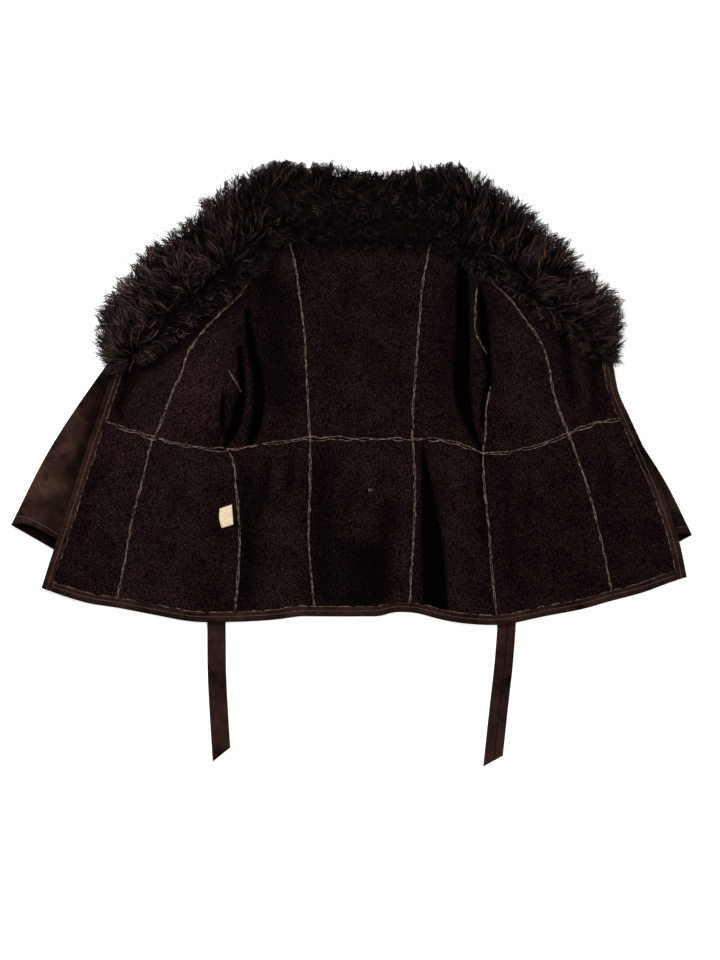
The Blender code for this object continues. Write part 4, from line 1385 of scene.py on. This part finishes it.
def collar_point(s, v):
    """Table point of the collar's hide at station s and share v from its outer edge to the neck,
    and the unit vector outwards there."""
    outer, neck = collar_lines(s)
    across = neck - outer
    across /= np.linalg.norm(across, axis=1, keepdims=True)
    inset = np.interp(s, *np.array(COLLAR_INSET).T)[:, None]
    start = outer + across * inset
    end = neck + across
    return start + (end - start) * np.asarray(v)[:, None], -across


def cloth_floor(x, y):
    """Top of what the fur falls on: the cloth where there is some."""
    inside = read_raster(COVER, x, y) > 0.5
    return np.where(inside, read_raster(CLOTH, x, y) + 1.0, BARE_FLOOR)


def cover():
    """Raster with a 1 where the panels lie."""
    z = np.zeros((len(RASTER_X), len(RASTER_Y)))
    for _, flat, _ in all_panels():
        i = np.rint((flat[..., 0] - RASTER_X[0]) / RASTER_STEP).astype(int)
        j = np.rint((flat[..., 1] - RASTER_Y[0]) / RASTER_STEP).astype(int)
        z[i, j] = 1.0
    return z


COVER = cover()


class COAT_OT_collar(bpy.types.Operator):
    """Builds the collar's hide and its long fur"""

    bl_idname = "coat.collar"
    bl_label = "Collar"

    def execute(self, context):
        fur = context.scene.coat_fur
        coat = fur_material("long_fur", fur.root, fur.tip, fur.auburn)
        # the hide under the fur is coloured near black: painted shade for the deep fur over it
        deep = speckled_material(
            "fur_depth", (0.0006, 0.0003, 0.0002, 1), (0.005, 0.0028, 0.0024, 1), 160.0, height=0.003
        )
        names = [piece[0] for piece in COLLAR_PIECES]
        self.low = heights(names, 5.0, from_below=True)
        self.high = heights(names, 5.0)
        for k, (name, first, last) in enumerate(COLLAR_PIECES):
            hide = self.hide(name, first, last, deep)
            strands = self.fur(name, first, last, coat, fur.length / MM, 100 + k)
            finish_piece(hide, [name])
            finish_piece(strands)
            width, length, area = FLAT[name]
        return {"FINISHED"}

    def depth(self, x, y):
        return np.clip(read_raster(self.high, x, y) - read_raster(self.low, x, y), 8.0, 30.0)

    def hide(self, name, first, last, material):
        s = np.linspace(first, last, (last - first) * 10 + 1)
        v = np.linspace(0, 1, 15)
        grid = np.stack([collar_point(s, np.full(len(s), share))[0] for share in v], axis=1)
        x, y = grid[..., 0], grid[..., 1]
        low = read_raster(self.low, x, y) + 0.3
        neck_rim = eased((v - 0.78) / 0.22)[None]
        low = low + (np.minimum(low, cloth_floor(x, y)) - low) * neck_rim
        dome = np.sin(math.pi * np.clip(0.1 + 0.8 * v, 0, 1))[None] ** 0.5
        thick = 3.0 + 0.42 * self.depth(x, y) * dome + wander(x, y, 16.0, 81)
        return slab(name + "_hide", lifted(grid, low + thick), lifted(grid, low), [material])

    def fur(self, name, first, last, material, length, seed):
        """Locks of strands, planted over the hide."""
        rng = np.random.default_rng(seed)
        strands, rings = STRANDS[name]
        locks = strands // STRANDS_IN_LOCK
        s = rng.uniform(first - 0.02, last + 0.02, locks).clip(0, len(COLLAR) - 1)
        v = rng.beta(0.95, 0.9, locks)
        fringe = rng.uniform(0, 1, locks) < (0.4 if name == "collar_back" else 0.22)
        v = np.where(fringe, rng.uniform(0.0, 0.07, locks), v)
        root, out = collar_point(s, v)
        angle, size = self.comb(rng, root, out, v, fringe, length)
        points = self.curl(rng, root, v, fringe, angle, size, rings)
        mesh, ring = self.strands(rng, name + "_fur", points)
        add_values(mesh, "along", np.broadcast_to(ring / (rings - 1), (len(points), len(ring))))
        self.colour_strands(rng, mesh, root, len(ring))
        return new_object(name + "_fur", mesh, [material])

    def comb(self, rng, root, out, v, fringe, length):
        """Way and length of each lock: away from a parting near the neck."""
        locks = len(root)
        x, y = root[:, 0], root[:, 1]
        parting = FUR_PARTING + 0.12 * wander(x, y, 60.0, 91)
        lean = np.clip((parting - v) / FUR_PARTING_REACH, -1, 1)
        outwards = np.clip(lean, 0, 1)
        angle = np.arctan2(out[:, 1], out[:, 0])
        angle = np.where(lean >= 0, angle, angle + math.pi)
        upward = np.where(x > -200, 0.2, 0.42) * outwards * eased((y - 200) / 120)
        angle = angle + upward * np.arctan2(np.sin(math.pi / 2 - angle), np.cos(math.pi / 2 - angle))
        angle = angle + 0.75 * wander(x, y, 42.0, 92) + 0.45 * wander(x, y, 17.0, 93)
        angle = angle + rng.normal(0, 0.2, locks)
        angle = angle + (1 - np.abs(lean)) * rng.normal(0, 1.1, locks)
        size = length * (0.82 + 0.25 * wander(x, y, 50.0, 94) + rng.normal(0, 0.13, locks))
        short = (np.abs(x) < BACK_NECK_REACH) & (v > 0.4)
        size = size * np.where(lean < 0, 0.5, 1.06) * np.where(short, 0.75, 1.0)
        high_back = np.exp(-(((x + 60) / BACK_NECK_REACH) ** 4)) * outwards
        size = size * (1 - 0.22 * high_back + 0.34 * np.exp(-(((x + 172) / 48) ** 2)) * outwards)
        size = size * np.where(fringe, 0.72, 1.0)
        angle = angle + np.where(fringe, rng.normal(0, 0.4, locks), 0.0)
        return angle, np.clip(size, *LOCK_LENGTHS)

    def curl(self, rng, root, v, fringe, angle, size, rings):
        """Table points of each strand: up from the hide, over and down, in waves."""
        locks = len(root)
        count = locks * STRANDS_IN_LOCK
        which = np.repeat(np.arange(locks), STRANDS_IN_LOCK)
        x, y = root[:, 0], root[:, 1]
        curly = np.where((np.abs(x) < 200) & (v > 0.35), 1.0, 0.35) + 0.25 * wander(x, y, 30.0, 95)
        t = np.linspace(0, 1, rings)[None]
        steep = np.radians(np.where(fringe, 14, 60) + rng.normal(0, 9, locks))[which][:, None]
        droop = np.radians(26 + rng.normal(0, 8, locks))[which][:, None]
        rise = steep + (-droop - steep) * t**0.75
        own = (1 + rng.normal(0, 0.09, count))[:, None]
        run = size[which][:, None] * own / (rings - 1)
        start = np.zeros((count, 1))
        forward = np.concatenate([start, np.cumsum(np.cos(rise)[:, :-1] * run, axis=1)], axis=1)
        up = np.concatenate([start, np.cumsum(np.sin(rise)[:, :-1] * run, axis=1)], axis=1)
        waves = (1.0 + 1.3 * np.clip(curly - 0.3, 0, 1) + rng.normal(0, 0.15, locks))[which][:, None]
        phase = rng.uniform(0, 2 * math.pi, locks)[which][:, None] + rng.normal(0, 0.35, count)[:, None]
        swing = (3.0 + 4.2 * np.clip(curly, 0, 1.2))[which][:, None] * (0.25 + 0.75 * t)
        aside = swing * np.sin(2 * math.pi * waves * t + phase)
        up = up + 0.45 * swing * np.cos(2 * math.pi * waves * t + phase)
        spread = FUR_SPREAD * (1 - 0.35 * t**1.2)
        jitter = rng.normal(0, 0.5, (count, 2))
        way = angle[which]
        ahead = np.stack([np.cos(way), np.sin(way)], axis=-1)
        left = np.stack([-np.sin(way), np.cos(way)], axis=-1)
        flat = (
            root[which][:, None] + ahead[:, None] * (forward + spread * jitter[:, :1])[..., None]
            + left[:, None] * (aside + spread * jitter[:, 1:])[..., None]
        )
        flat[..., 1] -= 0.6 * np.maximum(flat[..., 1] - FUR_TOP, 0.0)
        base = read_raster(self.low, x, y) + 1.5 + np.where(fringe, 0.16, 0.34) * self.depth(x, y)
        z = base[which][:, None] + up
        ceiling = read_raster(self.high, flat[..., 0], flat[..., 1]) + 4.0
        z = np.where(z > ceiling, ceiling + 0.25 * (z - ceiling), z)
        ground = np.maximum(cloth_floor(flat[..., 0], flat[..., 1]), BARE_FLOOR)
        return lifted(flat, np.minimum(np.maximum(z, ground), FUR_CEILING))

    def strands(self, rng, name, points):
        """One mesh of three-sided strands along the points, thinner towards the tip."""
        count, rings = points.shape[:2]
        t = np.linspace(0, 1, rings)[None]
        along = np.gradient(points, axis=1)
        along /= np.maximum(np.linalg.norm(along, axis=2, keepdims=True), 1e-9)
        across = np.cross(along, np.array((0, 0, 1.0)))
        across /= np.maximum(np.linalg.norm(across, axis=2, keepdims=True), 1e-9)
        over = np.cross(across, along)
        half = (FUR_HALF + rng.uniform(-0.25, 0.35, count))[:, None]
        half = half * np.interp(t, [0, 0.2, 0.75, 1], [0.8, 1.0, 0.7, 0.08])
        template, ring, side = rod("strand_shape", np.zeros((rings, 3, 3)))
        turn = math.pi / 2 - 2 * math.pi * side / 3
        corner = (
            points[:, ring] + across[:, ring] * (half[:, ring] * np.cos(turn)[None])[..., None]
            + over[:, ring] * (0.6 * half[:, ring] * np.sin(turn)[None])[..., None]
        )
        mesh = copies(name, template, placed(corner))
        bpy.data.meshes.remove(template)
        return mesh, ring

    def colour_strands(self, rng, mesh, root, corners):
        """How light and how reddish each strand is: lighter towards the front, in locks, with many strands
        near black, partly the fur's own colour and partly painted shade between the strands.
        """
        locks = len(root)
        count = locks * STRANDS_IN_LOCK
        which = np.repeat(np.arange(locks), STRANDS_IN_LOCK)
        x, y = root[:, 0], root[:, 1]
        tone = 0.55 + 0.3 * wander(x, y, 24.0, 96) + rng.normal(0, 0.18, locks)
        tone = np.clip(tone * np.interp(np.abs(x), [150, 400], [0.5, 1.45]), 0.08, 1.3)
        # near-black strands among the rest: partly the fur's own colour, partly painted shade between the
        # strands
        own = rng.choice([0.02, 0.12, 0.45, 1.3], count, p=[0.32, 0.3, 0.24, 0.14])
        tone = np.clip(tone[which] * own, 0.02, 1.0)
        red = np.zeros(locks)
        for cx, cy, reach in AUBURN:
            red = np.maximum(red, np.exp(-((x - cx) ** 2 + (y - cy) ** 2) / reach**2))
        red = np.clip(red * rng.uniform(0.4, 1.2, locks), 0, 1)[which]
        for key, values in (("tone", tone), ("auburn", red)):
            add_values(mesh, key, np.broadcast_to(values[:, None], (count, corners)))


# ---------------------------------------------------------------- stage


class COAT_OT_stage(bpy.types.Operator):
    """Sets out the floor, the studio light and the camera"""

    bl_idname = "coat.stage"
    bl_label = "Floor, light and camera"

    def execute(self, context):
        stage = context.scene.coat_stage
        bm = bmesh.new()
        bmesh.ops.create_grid(bm, x_segments=1, y_segments=1, size=40.0)
        bmesh.ops.translate(bm, verts=bm.verts, vec=(0, 0, -0.0005))
        mesh = bpy.data.meshes.new("floor")
        bm.to_mesh(mesh)
        bm.free()
        made, _, shader = new_material("floor", 1.0, 0.0)
        shader.inputs["Base Color"].default_value = stage.floor
        shader.inputs["Emission Color"].default_value = (1, 1, 1, 1)
        shader.inputs["Emission Strength"].default_value = 0.45
        floor = new_object("floor", mesh, [made])

        world = bpy.data.worlds.new("studio")
        world.use_nodes = True
        world.node_tree.nodes["Background"].inputs["Color"].default_value = (1, 1, 1, 1)
        world.node_tree.nodes["Background"].inputs["Strength"].default_value = 0.42
        context.scene.world = world
        self.light("key", (-1.3, 1.7, 2.3), 1.5, stage.key_power)
        self.light("fill", (1.6, -0.4, 2.6), 2.6, stage.key_power * 0.35)

        data = bpy.data.cameras.new("camera")
        data.lens = data.sensor_width * stage.camera_height / 1.92
        data.clip_end = 50.0
        camera = bpy.data.objects.new("camera", data)
        camera.location = (0.0170, -0.0285, stage.camera_height)
        context.scene.collection.objects.link(camera)
        context.scene.camera = camera
        context.scene.view_settings.view_transform = "Standard"
        return {"FINISHED"}

    def light(self, name, place, size, power):
        data = bpy.data.lights.new(name, "AREA")
        data.energy = power
        data.size = size
        lamp = bpy.data.objects.new(name, data)
        lamp.location = place
        lamp.rotation_euler = (Vector((0, 0, 0)) - Vector(place)).to_track_quat("-Z", "Y").to_euler()
        bpy.context.scene.collection.objects.link(lamp)


OPERATORS = [
    COAT_OT_stage, COAT_OT_belt, COAT_OT_sleeves, COAT_OT_panels, COAT_OT_bands, COAT_OT_seams,
    COAT_OT_label, COAT_OT_collar,
]


class COAT_PT_parts(bpy.types.Panel):
    """Lists the parts of the coat"""

    bl_idname = "COAT_PT_parts"
    bl_label = "Shearling Coat"
    bl_space_type = "VIEW_3D"
    bl_region_type = "UI"
    bl_category = "Coat"

    def draw(self, context):
        for group in (context.scene.coat_cloth, context.scene.coat_fur, context.scene.coat_stage):
            for key in group.__annotations__:
                self.layout.prop(group, key)
        for made in OPERATORS:
            self.layout.operator(made.bl_idname)


CLASSES = [CoatClothSettings, CoatFurSettings, CoatStageSettings, *OPERATORS, COAT_PT_parts]


def register():
    for made in CLASSES:
        bpy.utils.register_class(made)
    bpy.types.Scene.coat_cloth = bpy.props.PointerProperty(type=CoatClothSettings)
    bpy.types.Scene.coat_fur = bpy.props.PointerProperty(type=CoatFurSettings)
    bpy.types.Scene.coat_stage = bpy.props.PointerProperty(type=CoatStageSettings)


def unregister():
    del bpy.types.Scene.coat_cloth
    del bpy.types.Scene.coat_fur
    del bpy.types.Scene.coat_stage
    for made in reversed(CLASSES):
        bpy.utils.unregister_class(made)


def main():
    register()
    for made in OPERATORS:
        group, name = made.bl_idname.split(".")
        getattr(getattr(bpy.ops, group), name)()


if __name__ == "__main__":
    main()
